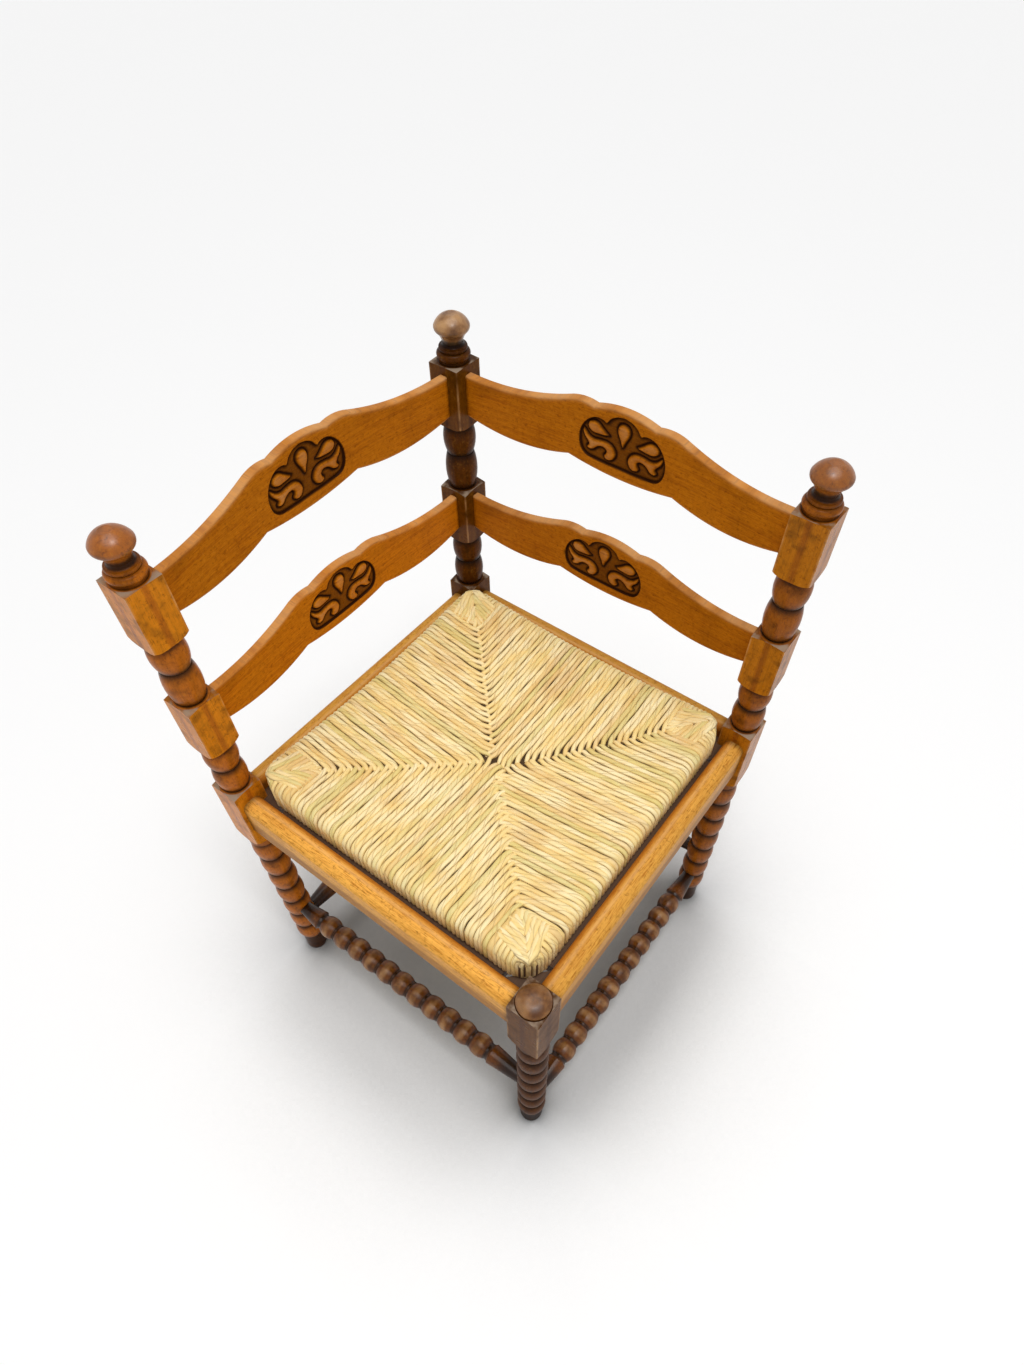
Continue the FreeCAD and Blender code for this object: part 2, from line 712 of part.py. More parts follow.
def edges_where(item, test):
    return ["Edge%d" % (i + 1) for i, e in enumerate(item.Shape.Edges) if test(e)]


def rounded(owner, name, base, names, radius):
    made = owner.newObject("PartDesign::Fillet", owner.Name + "_" + name)
    made.Base = (base, names)
    bind(made, "Radius", radius)
    owner.Tip = made
    doc.recompute()
    return made


def cut_square(half, near):
    """Square in plan with its four corners cut."""
    return [
        ("-" + near, "-" + half),
        (near, "-" + half),
        (half, "-" + near),
        (half, near),
        (near, half),
        ("-" + near, half),
        ("-" + half, near),
        ("-" + half, "-" + near),
    ]


def rush(name):
    """Stuffed rush over the slip frame: dished top, rounded edges, corners cut at the posts."""
    made = body(name, "0", "0", 45)
    drawn = sketch(made, "plan", "XY_Plane", SEAT_LOW)
    loop(drawn, cut_square(SEAT_HALF, "(%s-%s)" % (SEAT_CORNER, SEAT_HALF)))
    block = pad(made, "block", drawn, "{seat_middle}+4*{seat_dish}")
    doc.recompute()
    upright = edges_where(block, lambda e: abs(e.tangentAt(e.FirstParameter).z) > 0.99)
    corners = rounded(made, "corners", block, upright, "{seat_corner_round}")
    dish = sketch(made, "dish", "XZ_Plane")
    ball = "(%s^2/(2*{seat_dish})+{seat_dish}/2)" % SEAT_HALF
    far = "(%s*1.5)" % SEAT_HALF
    drop = "sqrt(%s^2-%s^2)" % (ball, far)
    sag = "%s-sqrt((%s^2+%s*%s)/2)" % (ball, ball, ball, drop)
    loop(dish, [
        ("0", SEAT_MIDDLE, sag),
        (far, "%s+%s-%s" % (SEAT_MIDDLE, ball, drop)),
        (far, SEAT_MIDDLE + "+6*{seat_dish}"),
        ("0", SEAT_MIDDLE + "+6*{seat_dish}"),
    ])
    hollow = made.newObject("PartDesign::Groove", name + "_dished")
    hollow.Profile = dish
    hollow.ReferenceAxis = (dish, ["V_Axis"])
    hollow.Angle = 360
    made.Tip = hollow
    doc.recompute()
    high = value(SEAT_MIDDLE)
    rim = edges_where(hollow, lambda e: min(v.Point.z for v in e.Vertexes) > high)
    top = rounded(made, "rim", hollow, rim, "{seat_edge_round}")
    low = value(SEAT_LOW + "+{slip_gap}")
    under = edges_where(top, lambda e: max(v.Point.z for v in e.Vertexes) < low)
    rounded(made, "underside", top, under, "{seat_under_round}")
    channel = sketch(made, "channel", "XY_Plane", SLIP_LOW + "-{slip_gap}")
    wide = "(%s+{slip_gap})" % SLIP_HALF
    loop(channel, cut_square(wide, "(%s+{slip_gap}*sqrt(2)-%s)" % (SLIP_CORNER, wide)))
    thin = "(%s-{slip_width}-{slip_gap})" % SLIP_HALF
    loop(channel, [("-" + thin, "-" + thin), (thin, "-" + thin), (thin, thin), ("-" + thin, thin)])
    pocket(made, "slip_channel", channel, "{slip_height}+2*{slip_gap}", reversed_cut=True)
    return made


ACROSS = "{post_spacing}/sqrt(2)"
SLANT = "{post_spacing}/sqrt(8)"
made = []

# Corners of the square: name, where it lies, its turn, the heights of its two stretchers, splat sides
CORNERS = [
    ("front_leg", "0", "-" + ACROSS, 45, {"x": "{stretcher_front_low}", "y": "{stretcher_high}"}, ""),
    ("right_post", ACROSS, "0", 135, {"x": "{stretcher_high}", "y": "{stretcher_front_low}"}, "x"),
    ("back_post", "0", ACROSS, 225, {"x": "{stretcher_back_low}", "y": "{stretcher_high}"}, "xy"),
    ("left_post", "-" + ACROSS, "0", 315, {"x": "{stretcher_high}", "y": "{stretcher_back_low}"}, "y"),
]
for name, east, north, turn, holes, splat_sides in CORNERS:
    made.append(post(name, east, north, turn, holes, splat_sides))
    made.append(corner_block("corner_block_" + name.split("_")[0], east, north, turn))

# Sides of the square: name, where its middle lies, the turn that makes its own y look outwards, stretcher
SIDES = [
    ("front_left", "-" + SLANT, "-" + SLANT, 135, "{stretcher_high}", "{stretcher_shift}"),
    ("front_right", SLANT, "-" + SLANT, 225, "{stretcher_front_low}", "0"),
    ("back_left", "-" + SLANT, SLANT, 45, "{stretcher_back_low}", "0"),
    ("back_right", SLANT, SLANT, -45, "{stretcher_high}", "0"),
]
for label, east, north, turn, level, shift in SIDES:
    made.append(rail("seat_rail_" + label, east, north, turn))
    made.append(cleat("seat_cleat_" + label, east, north, turn))
    made.append(stretcher("stretcher_" + label, east, north, turn, level, shift))
    made.append(slip_rail("slip_rail_" + label, turn))
    if label.startswith("back"):
        hand = label.split("_")[1]
        for storey, level in (("upper", UPPER_SPLAT), ("lower", LOWER_SPLAT)):
            bow = "{bow_%s_%s}" % (storey, hand)
            made.append(splat("splat_%s_%s" % (storey, hand), east, north, turn, level, bow))
made.append(rush("rush_seat"))

doc.recompute()
for item in doc.Objects:
    if "Invalid" in item.State or "Error" in item.State:
        raise RuntimeError(item.Name + " " + " ".join(item.State))
os.makedirs("parts", exist_ok=True)
for item in made:
    shape = item.Shape
    if shape.isNull() or not shape.isValid() or len(shape.Solids) != 1:
        raise RuntimeError(item.Label + " is not one sound solid")
    shape.exportStep("parts/" + item.Label + ".step")
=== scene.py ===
import math

import bpy
import numpy as np
from bpy.props import FloatProperty, FloatVectorProperty, IntProperty, PointerProperty
from mathutils import Matrix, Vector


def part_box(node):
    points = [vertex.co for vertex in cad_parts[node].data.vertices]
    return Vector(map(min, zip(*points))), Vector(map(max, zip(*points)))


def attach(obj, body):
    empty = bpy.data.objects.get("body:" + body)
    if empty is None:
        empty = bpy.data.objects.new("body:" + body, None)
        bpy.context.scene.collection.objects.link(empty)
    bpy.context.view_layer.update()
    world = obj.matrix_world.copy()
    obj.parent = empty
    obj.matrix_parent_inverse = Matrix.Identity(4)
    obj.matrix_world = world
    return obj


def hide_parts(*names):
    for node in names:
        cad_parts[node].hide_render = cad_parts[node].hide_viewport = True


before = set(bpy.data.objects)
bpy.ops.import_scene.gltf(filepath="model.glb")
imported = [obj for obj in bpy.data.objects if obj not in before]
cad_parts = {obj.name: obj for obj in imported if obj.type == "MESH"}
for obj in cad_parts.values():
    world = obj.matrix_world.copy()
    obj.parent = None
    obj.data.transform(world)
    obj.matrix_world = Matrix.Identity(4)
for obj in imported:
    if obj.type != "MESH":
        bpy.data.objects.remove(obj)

bl_info = {
    "name": "Corner chair",
    "version": (1, 0, 0),
    "blender": (4, 5, 0),
    "location": "3D View > Sidebar > Chair",
    "description": "Finishes a packed corner chair: stained turnings, carved splats and a rush seat",
    "category": "Object",
}

MM = 0.001
ROOT = math.sqrt(0.5)

# The chair's square plan stands on its front corner. These two directions run along its rails
ALONG_A = np.array((ROOT, ROOT, 0))
ALONG_B = np.array((-ROOT, ROOT, 0))

# Sizes in millimetres, measured along those directions. POST is the distance of a post's axis from the
# middle, BLOCK half a square block's width and REACH half a splat's length between two blocks
post_low, post_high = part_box("back_post")
POST = (post_low.y + post_high.y) / 2 * ROOT / MM
BLOCK = (post_high.y - post_low.y) / 2 * ROOT / MM
REACH = POST - BLOCK

# The rush seat: how far out its side stands, its underside, the height of its dished top in the middle, the
# number that the square of the distance from there is divided by to rise, the roundings of its rim, of the
# corner strands over it and of a strand's other bends, how far along a rail each way the strands of a field
# go, and the number of sides of a strand
SEAT = 190.5
SEAT_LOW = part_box("rush_seat")[0].z / MM
SEAT_MIDDLE = 427.0
DISH = 2701.0
RIM = 12.0
LIP = 9.0
HEEL = 4.0
FIELD = 140.0
SIDES = 8

# Half of a splat's thickness, and the height above its wings' underside about which its carving is scaled
HALF_BOARD = 5.0
CARVED_MIDDLE = 31.5

# In metres, for the stain, its painted shade and its painted highlight: the heights of a post's ringed
# collar and of the neck under its ball, and how far out the ridge of a seat rail lies
COLLAR = 0.735
NECK = 0.7525
RIDGE = 0.2045

# The view of the photograph: the camera's place in metres, its heading, downward pitch and roll in degrees,
# and the focal length, the point straight ahead and the frame in pixels
EYE = (-0.0437, -0.54183, 1.18568)
HEADING, PITCH, ROLL = 7.517, 54.723, -0.5
FOCAL = 818.03
AHEAD = (520.59, 760.49)
WIDE, TALL = 1024, 1365


def linear(code):
    """sRGB hex colour as linear red, green and blue."""
    parts = [int(code[i : i + 2], 16) / 255 for i in (1, 3, 5)]
    return tuple(c / 12.92 if c <= 0.04045 else ((c + 0.055) / 1.055) ** 2.4 for c in parts)


def colour(name, description, code):
    return FloatVectorProperty(
        name=name, description=description, subtype="COLOR", size=3, min=0, max=1, default=linear(code)
    )


def length(name, description, value):
    return FloatProperty(name=name, description=description, unit="LENGTH", min=0, default=value * MM)


class ChairFinish(bpy.types.PropertyGroup):
    """Colours of the stained wood and of the rush, some partly painted shade and highlight."""

    stain: colour("Stain", "Turned wood on its full round", "#A2590F")
    stain_light: colour("Rubbed stain", "Flat faces of the blocks where hands have worn them", "#BE7210")
    # Partly real wax, partly painted shade: near-black in the nicks, the necks and between the bobbins
    dark_wax_and_shade: colour("Old wax", "Dark wax gathered in nicks and inner corners", "#180903")
    end_grain: colour("End grain", "Bare tops of the square blocks", "#A08C78")
    # Partly real wear, partly painted highlight: rails' ridge, splats' edges and leaf crowns, blocks'
    # corners, bobbins' crowns, balls
    wear_and_highlight: colour("Worn gloss", "Pale, polished high spots on balls, button and board edges", "#DDAE78")
    rail: colour("Rail", "Golden face of the seat rails", "#E9AA4C")
    rail_streak: colour("Rail streak", "Darker grain and flecks of the rails", "#A8641C")
    splat: colour("Splat", "Face of the back splats", "#B96C0A")
    splat_streak: colour("Splat streak", "Darker grain of the splats", "#8E4805")
    # Partly real stain, partly painted shade in the grooves and at the leaves' feet
    carved: colour("Carved ground", "Dark stain in the carved panels", "#2A1004")
    straw: colour("Straw", "Most of the twisted rush", "#F6D88E")
    straw_pale: colour("Pale straw", "Bleached strands", "#FCEAB6")
    straw_tan: colour("Tan straw", "Riper strands", "#D8A862")
    straw_green: colour("Green straw", "Strands cut young", "#D8C878")
    # Dark partly as painted shade between the strands
    stuffing: colour("Stuffing", "Rush packed inside, seen between strands", "#4E3616")
    bare: colour("Bare wood", "Hidden wood, dark with age and dust", "#5B3D22")


class ChairForm(bpy.types.PropertyGroup):
    """Sizes of the woven and the carved work."""

    strands: IntProperty(
        name="Strands", description="Strands over one rail between its corners", min=8, default=48
    )
    strand: length("Strand", "Thickness of a twisted strand", 6.1)
    wander: length("Wander", "How far a strand strays sideways", 0.5)
    carving: length("Carving", "Depth of the carved ground", 3.2)
    rounding: length("Rounding", "Rounding of the splats' edges", 2.0)


class ChairStage(bpy.types.PropertyGroup):
    """Light and floor."""

    sky: FloatProperty(name="Sky", description="Strength of the even light all round", min=0, default=0.3)
    sun: FloatProperty(name="Sun", description="Strength of the soft main light", min=0, default=2.02)
    spread: FloatProperty(
        name="Spread", description="Width of the main light", subtype="ANGLE", min=0, default=math.radians(56)
    )
    floor: colour("Floor", "Pale floor", "#FCFCFC")


# Meshes


def surface(name, points, faces, body, uv=None, **values):
    """New mesh piece from points in millimetres and arrays of face corners, each array one kind of face.
    uv lists a pair for every face corner in turn; each value in values becomes a number on the points."""
    mesh = bpy.data.meshes.new(name)
    mesh.vertices.add(len(points))
    mesh.vertices.foreach_set("co", (np.asarray(points, float) * MM).astype(np.float32).ravel())
    corners = np.concatenate([f.ravel() for f in faces])
    counts = np.concatenate([np.full(len(f), f.shape[1]) for f in faces])
    starts = np.concatenate([[0], np.cumsum(counts)[:-1]])
    mesh.loops.add(len(corners))
    mesh.loops.foreach_set("vertex_index", corners.astype(np.int32))
    mesh.polygons.add(len(counts))
    mesh.polygons.foreach_set("loop_start", starts.astype(np.int32))
    mesh.polygons.foreach_set("use_smooth", np.ones(len(counts), bool))
    mesh.update(calc_edges=True)
    if uv is not None:
        layer = mesh.uv_layers.new(name="UVMap")
        layer.data.foreach_set("uv", np.asarray(uv, np.float32).ravel())
    for key, value in values.items():
        attribute = mesh.attributes.new(key, "FLOAT", "POINT")
        attribute.data.foreach_set("value", np.asarray(value, np.float32).ravel())
    if mesh.validate():
        raise RuntimeError(name + " has faulty faces")
    made = bpy.data.objects.new(name, mesh)
    bpy.context.scene.collection.objects.link(made)
    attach(made, body)
    return made


def tube_faces(rings, sides):
    """Face corners of a closed tube whose points run ring by ring, with a pole for each end after them: quads
    between the rings, and a fan of triangles round each pole."""
    i, j = np.indices((rings - 1, sides))
    after = (j + 1) % sides
    quads = np.stack([i * sides + j, i * sides + after, (i + 1) * sides + after, (i + 1) * sides + j], -1)
    side = np.arange(sides)
    after = (side + 1) % sides
    last = (rings - 1) * sides
    pole = np.full(sides, rings * sides)
    first = np.stack([pole, after, side], -1)
    final = np.stack([pole + 1, last + side, last + after], -1)
    return quads.reshape(-1, 4), np.concatenate([first, final])


def bend(s, z, radius, start, stop, count):
    """Arc round a centre: s plus radius times cosine, z plus radius times sine, of angles in degrees."""
    turn = np.radians(np.linspace(start, stop, count))
    return s + radius * np.cos(turn), z + radius * np.sin(turn)


def straight(start, stop, count):
    """Values at even steps from start to stop, which are numbers or columns."""
    share = np.linspace(0, 1, count)
    return start * (1 - share) + stop * share


def joined(parts, column):
    """Lines, one for each row of column, out of parts that are pairs of outward distance and height."""
    parts = [np.broadcast_arrays(s, z, column)[:2] for s, z in parts]
    return [np.concatenate(part, 1) for part in zip(*parts)]


def fade(distance, reach):
    """Bell curve: 1 up to distance 0, then e to the power of minus the square of distance over reach."""
    return np.exp(-((np.maximum(distance, 0) / reach) ** 2))


def smooth(value):
    """Eased step from 0 to 1: value squared times (3 - 2 value)."""
    value = np.clip(value, 0, 1)
    return value * value * (3 - 2 * value)


# Rush


def seat_top(a, b):
    """Height of the dished seat: lowest in the middle, rising with the square of the distance from it."""
    return SEAT_MIDDLE + (a * a + b * b) / DISH


def drop(past, radius):
    """Fall of a quarter round past its start: radius less the root of radius squared less past squared."""
    past = np.clip(past, 0, radius)
    return radius - np.sqrt(radius**2 - past**2)


def drawn_in(p, q, z, low, line=350, sink=0.22):
    """Rounds a corner of the seat: where p + q is more than line, both distances shrink by 0.3 of the
    excess, and heights above low sink by sink times it."""
    excess = np.maximum(p + q - line, 0)
    return p - 0.3 * excess, q - 0.3 * excess, z - sink * excess * (z > low)


def laid(s, t, z, outward, along):
    """Points in the chair's frame from outward distance, place along the rail and height."""
    return s[..., None] * outward + t[..., None] * along + z[..., None] * np.array((0, 0, 1.0))


def sway(rng, along, size):
    """Slow random waves along each strand: two sines of different length and random phase."""
    phase = rng.uniform(0, 2 * np.pi, (2, along.shape[0], 1))
    return size * (0.6 * np.sin(along / 17 + phase[0]) + 0.4 * np.sin(along / 6.5 + phase[1]))


def tubes(name, path, beside, wide, high, tone):
    """Round strands of the seat. path is (strand, ring, 3) and beside each ring's level sideways direction.
    Every ring is an ellipse square to the path: centre + wide cos a flat + high sin a upward, where upward
    is the path's direction crossed with beside, and flat is upward crossed with that direction. In the UV
    map u goes once round the strand and v is the run along it in metres."""
    count, rings = path.shape[:2]
    ahead = np.gradient(path, axis=1)
    ahead /= np.linalg.norm(ahead, axis=2, keepdims=True)
    upward = np.cross(ahead, beside)
    upward /= np.linalg.norm(upward, axis=2, keepdims=True)
    flat = np.cross(upward, ahead)
    turn = np.arange(SIDES) * 2 * np.pi / SIDES
    ring = (
        path[:, :, None]
        + flat[:, :, None] * (wide[:, :, None] * np.cos(turn))[..., None]
        + upward[:, :, None] * (high[:, :, None] * np.sin(turn))[..., None]
    )
    points = np.concatenate([ring.reshape(count, -1, 3), path[:, :1], path[:, -1:]], 1)
    each = points.shape[1]
    base = np.arange(count)[:, None, None] * each
    faces = [(kind + base).reshape(-1, kind.shape[1]) for kind in tube_faces(rings, SIDES)]

    steps = np.linalg.norm(np.diff(path, axis=1), axis=2)
    run = np.concatenate([np.zeros((count, 1)), np.cumsum(steps, 1)], 1) * MM
    i, j = np.indices((rings - 1, SIDES)).reshape(2, -1, 1)
    v = run[:, i + (0, 0, 1, 1)]
    quad_uv = np.stack([np.broadcast_to((j + (0, 1, 1, 0)) / SIDES, v.shape), v], -1)
    fan_u = np.tile(np.repeat((np.arange(SIDES) + 0.5) / SIDES, 3), 2)
    fan_v = np.repeat(run[:, [0, -1]], SIDES * 3, 1)
    fan_uv = np.stack([np.broadcast_to(fan_u, fan_v.shape), fan_v], -1)
    uv = np.concatenate([quad_uv.reshape(-1, 2), fan_uv.reshape(-1, 2)])
    return surface(name, points.reshape(-1, 3), faces, "drop_in_seat", uv, tone=np.repeat(tone, each))


def strand_line(t, inner, under, half):
    """Line of one strand square to its rail, as outward distance and height for each strand along t: it
    rises out of the seam, runs over the dished top, bends round the rounded rim, drops down the side and
    runs back under."""
    t, inner, under = t[:, None], inner[:, None], under[:, None]
    rim, low, round_rim = SEAT - RIM, SEAT_LOW + half, RIM - half
    shoulder = seat_top(rim, t) - half - round_rim
    crossing = straight(inner + HEEL, rim, 44)[:, 1:-1]
    heel = SEAT - half - HEEL
    parts = [
        bend(inner + HEEL, seat_top(inner, t) - half - HEEL, HEEL, 178, 90, 6),
        (crossing, seat_top(crossing, t) - half),
        bend(rim, shoulder, round_rim, 90, 0, 8),
        (SEAT - half, straight(shoulder, low + HEEL, 5)[:, 1:]),
        bend(heel, low + HEEL, HEEL, -22.5, -90, 4),
        (straight(heel, under + HEEL, 14)[:, 1:], low),
        bend(under + HEEL, low + HEEL, HEEL, -112, -178, 4),
    ]
    return joined(parts, t)


def weave_field(name, outward, along, seam, tilt, seed, form):
    """One of the four fields of strands square to a rail. seam gives, for places along the rail, how far
    out the field ends, where every other strand reaches 2 mm further. tilt is how many per cent of their
    way in the strands slant. They hook sideways where they dive into the seam and are thinner there. The
    first and last strand are thicker and of one tan tone. Sizes are in millimetres."""
    rng = np.random.default_rng(seed)
    count = form.strands
    half = form.strand / MM / 2
    t = np.linspace(-FIELD, FIELD, count) + rng.normal(0, 0.25, count)
    place, reach = np.array(seam, float).T
    staggered = np.where(np.arange(count) % 2, 1.0, -1.0)
    inner = np.interp(t, place, reach) - 1.6 + rng.normal(0, 0.8, count) + staggered
    under = np.maximum(np.abs(t) + 1 + rng.normal(0, 1.2, count), 3)
    s, z = strand_line(t, inner, under, half)
    upper = z > SEAT_LOW + 2 * half
    t, inner = t[:, None], inner[:, None]
    slant = tilt / 100 * np.clip(SEAT - s, 0, SEAT) * upper
    hook = 3.2 * fade(np.abs(s - inner), 7.0) * upper
    across = t + sway(rng, s, form.wander / MM) + slant + np.sign(t) * hook
    path = laid(s, across, z + sway(rng, s + 40, 0.28), outward, along)
    wide = half * (1.05 + sway(rng, s * 1.7, 0.08) + rng.normal(0, 0.04, (count, 1)))
    wide[[0, -1]] *= 1.25
    taper = np.clip(0.62 + (s - inner) / 14, 0.62, 1)
    high = half * (0.98 + sway(rng, s * 1.3 + 9, 0.05)) * np.where(upper, taper, 1)
    tone = rng.random(count)
    tone[[0, -1]] = 0.93
    return tubes(name, path, np.broadcast_to(along, path.shape), wide * np.sqrt(taper), high, tone)


def nested_strands(rng, outward, along, half):
    """Seven strands of a corner that run beside a rail and lean outwards until they meet those of the next
    rail on the diagonal. Returns their lines, sideways directions and half widths."""
    k = np.arange(7)
    q = (141.5 + 5.3 * k + rng.normal(0, 0.3, 7))[:, None]
    start = (137.0 + rng.normal(0, 0.8, 7))[:, None]
    stop = (148.5 + 6.1 * k + np.where(k % 2, 0.9, -0.9))[:, None]
    dip = 3.6
    parts = [
        bend(start + dip, -dip, dip, 178, 90, 6),
        (straight(start + dip, stop - dip, 12)[:, 1:-1], 0.0),
        bend(stop - dip, -dip, dip, 90, 2, 6),
    ]
    p, sink = joined(parts, start)
    share = np.clip((p - start) / (stop - start), 0, 1)
    q = q + (stop - q) * share**1.25 + sway(rng, p, 0.3)
    z = seat_top(p, q) - half + sink - drop(np.maximum(q, p) - (SEAT - RIM), LIP) + 0.5
    q, p, z = drawn_in(q, p, z, SEAT_LOW)
    path = laid(q, p, z, outward, along)
    return path, np.broadcast_to(outward, path.shape), half * (1.0 + 0.16 * share + sway(rng, p * 1.5, 0.07))


def rim_wraps(rng, outward, along, half):
    """Short wraps of a corner, square to the rail, that come from under the nested strands over the rim.
    Returns their lines, sideways directions and half widths."""
    t = np.arange(145.5, 186, 5.6)
    t = t + rng.normal(0, 0.25, len(t))
    s, z = strand_line(t, 172.5 + rng.normal(0, 0.8, len(t)), t * 0.97, half)
    t = t[:, None]
    s = s - drop(t - (SEAT - RIM), LIP)
    z = z - 0.5 - 0.8 * np.clip((t - 160) / 10, 0, 3) * (z > SEAT_LOW + 12)
    s, side, z = drawn_in(s, t + sway(rng, s, 0.3), z, SEAT_LOW + 15)
    path = laid(s, side, z, outward, along)
    return path, np.broadcast_to(along, path.shape), half * (0.98 + sway(rng, s * 1.7, 0.06))


def weave_corners(form):
    """Both kinds of corner strands, each kind over the eight halves of the four corners."""
    rng = np.random.default_rng(31)
    corners = [(a, b) for a in (-ALONG_A, ALONG_A) for b in (-ALONG_B, ALONG_B)]
    halves = [pair for a, b in corners for pair in ((a, b), (b, a))]
    kinds = (("rush_corners", nested_strands, 0.97), ("rush_corner_wraps", rim_wraps, 0.95))
    made = []
    for name, strands, flat in kinds:
        found = [strands(rng, outward, along, form.strand / MM / 2) for outward, along in halves]
        path, beside, wide = (np.concatenate(part) for part in zip(*found))
        made.append(tubes(name, path, beside, wide, wide * flat, rng.random(len(path))))
    return made


def stuffing_block(name):
    """Packed rush under the strands: a square cushion form that lies inset by the same depth everywhere.
    Its top is a grid over the square that follows the dished seat. Its underside is that grid, flat."""
    n, inset = 41, 4.6
    a, b = np.meshgrid(*[np.linspace(-1, 1, n) * (SEAT - inset)] * 2, indexing="ij")
    top = seat_top(a, b) - inset - drop(np.maximum(np.abs(a), np.abs(b)) - (SEAT - RIM), RIM - inset)
    p, q, top = drawn_in(np.abs(a), np.abs(b), top, SEAT_LOW, 346, 0.27)
    a, b = np.copysign(p, a), np.copysign(q, b)
    low = np.full_like(top, SEAT_LOW + inset)
    points = np.concatenate([laid(a, b, z, ALONG_A, ALONG_B).reshape(-1, 3) for z in (top, low)])
    i, j = np.indices((n - 1, n - 1))
    quad = np.stack([i * n + j, (i + 1) * n + j, (i + 1) * n + j + 1, i * n + j + 1], -1).reshape(-1, 4)
    row = np.arange(n)
    edge = np.concatenate([row * n, (n - 1) * n + row[1:], row[-2::-1] * n + n - 1, row[-2:0:-1]])
    after = np.roll(edge, -1)
    wall = np.stack([edge, edge + n * n, after + n * n, after], -1)
    return surface(name, points, [quad, quad[:, ::-1] + n * n, wall], "drop_in_seat")


# Carved splats

# Edges of a splat in millimetres from its middle and from the underside of its wings: corners on the right
# half, and the rise of each arch between them
LOWER_EDGE = [(-62, -1.5), (62, -1.5), (REACH, 0)], [-6.5, -10.3]
UPPER_EDGE = [(-35, 60.5), (35, 60.5), (65, 59.5), (REACH, 45.5)], [5.5, 2.2, -7.8]

# Outlines of the carved panel and its leaves from the same point, right half
PANEL = [
    (0, 58.0), (7.5, 56.8), (14, 53.0), (17.6, 48.2), (19.2, 47.4), (21.5, 48.8), (27, 49.6), (34, 47.6),
    (41, 41.5), (45.6, 33), (47, 23.5), (45.2, 14.5), (40.5, 8.6), (33, 6.2), (18, 5.2), (0, 5.0),
]
TEARDROP = [(0, 51.8), (4.4, 50.4), (7.0, 46.0), (6.2, 40.4), (3.2, 34.4), (1.0, 28.8), (0, 27.6)]
PETAL = [
    (14.5, 34.5), (19, 33.2), (26, 32.4), (32.5, 32.6), (37.2, 35.4), (38.6, 39.6), (36.4, 43.4),
    (31.4, 45.0), (26.4, 43.6), (21.5, 39.6), (17.2, 36.4),
]
SCROLL = [
    (6.4, 17), (7.4, 22), (10.8, 26.0), (16.5, 28.2), (24, 28.0), (30.5, 27.0), (36, 28.6),
    (40.6, 33.0), (43.0, 34.4), (43.6, 31.6), (41.6, 26.4), (38.2, 22.6), (36.6, 19.6), (38.4, 17.0),
    (37.6, 14.8), (34.4, 14.0), (30.4, 15.4), (27.6, 18.2), (24.0, 20.4), (20.2, 20.8), (17.4, 19.2),
    (17.6, 16.4), (19.4, 13.6), (17.8, 10.6), (13.6, 9.6), (9.2, 11.6),
]


def arches(x, corners, rises):
    """Height of an edge of shallow arches: between two corners t goes from 0 to 1, and the height is that
    of the straight line plus the arch's rise times four t (1 - t)."""
    place, height = np.array(corners, float).T
    stretch = np.clip(np.searchsorted(place, x, "right") - 1, 0, len(rises) - 1)
    t = (x - place[stretch]) / np.diff(place)[stretch]
    return height[stretch] + np.diff(height)[stretch] * t + 4 * np.array(rises)[stretch] * t * (1 - t)


def drawn_line(half, mirrored):
    """Closed outline as a Catmull-Rom curve: between two points it is the cubic whose slope at each point
    is half the step from the point before to the point after. A mirrored outline repeats its points on its
    other side."""
    points = np.array(half, float)
    if mirrored:
        points = np.concatenate([points, points[::-1][points[::-1, 0] > 0.01] * (-1, 1)])
    t = np.linspace(0, 1, 8, endpoint=False)[None, :, None]
    p0, p1, p2, p3 = (np.roll(points, k, 0)[:, None] for k in (1, 0, -1, -2))
    cubic = 3 * (p1 - p2) + p3 - p0
    curve = p1 + 0.5 * t * (p2 - p0 + t * (2 * p0 - 5 * p1 + 4 * p2 - p3 + t * cubic))
    return curve.reshape(-1, 2)


def inside_by(x, z, line):
    """Signed distance to a closed outline, positive inside: the least distance to any side, signed by how
    many sides a level line to the right crosses."""
    p = np.stack([x.ravel(), z.ravel()], -1)[:, None]
    start, stop = line[None], np.roll(line, -1, 0)[None]
    side = stop - start
    t = np.clip(((p - start) * side).sum(-1) / (side**2).sum(-1), 0, 1)
    near = np.linalg.norm(p - start - side * t[..., None], axis=-1).min(1)
    above = (start[..., 1] > p[..., 1]) != (stop[..., 1] > p[..., 1])
    with np.errstate(divide="ignore", invalid="ignore"):
        cross = start[..., 0] + (p[..., 1] - start[..., 1]) / side[..., 1] * side[..., 0]
    crossed = (above & (p[..., 0] < cross)).sum(1) % 2 == 1
    return np.where(crossed, near, -near).reshape(x.shape)


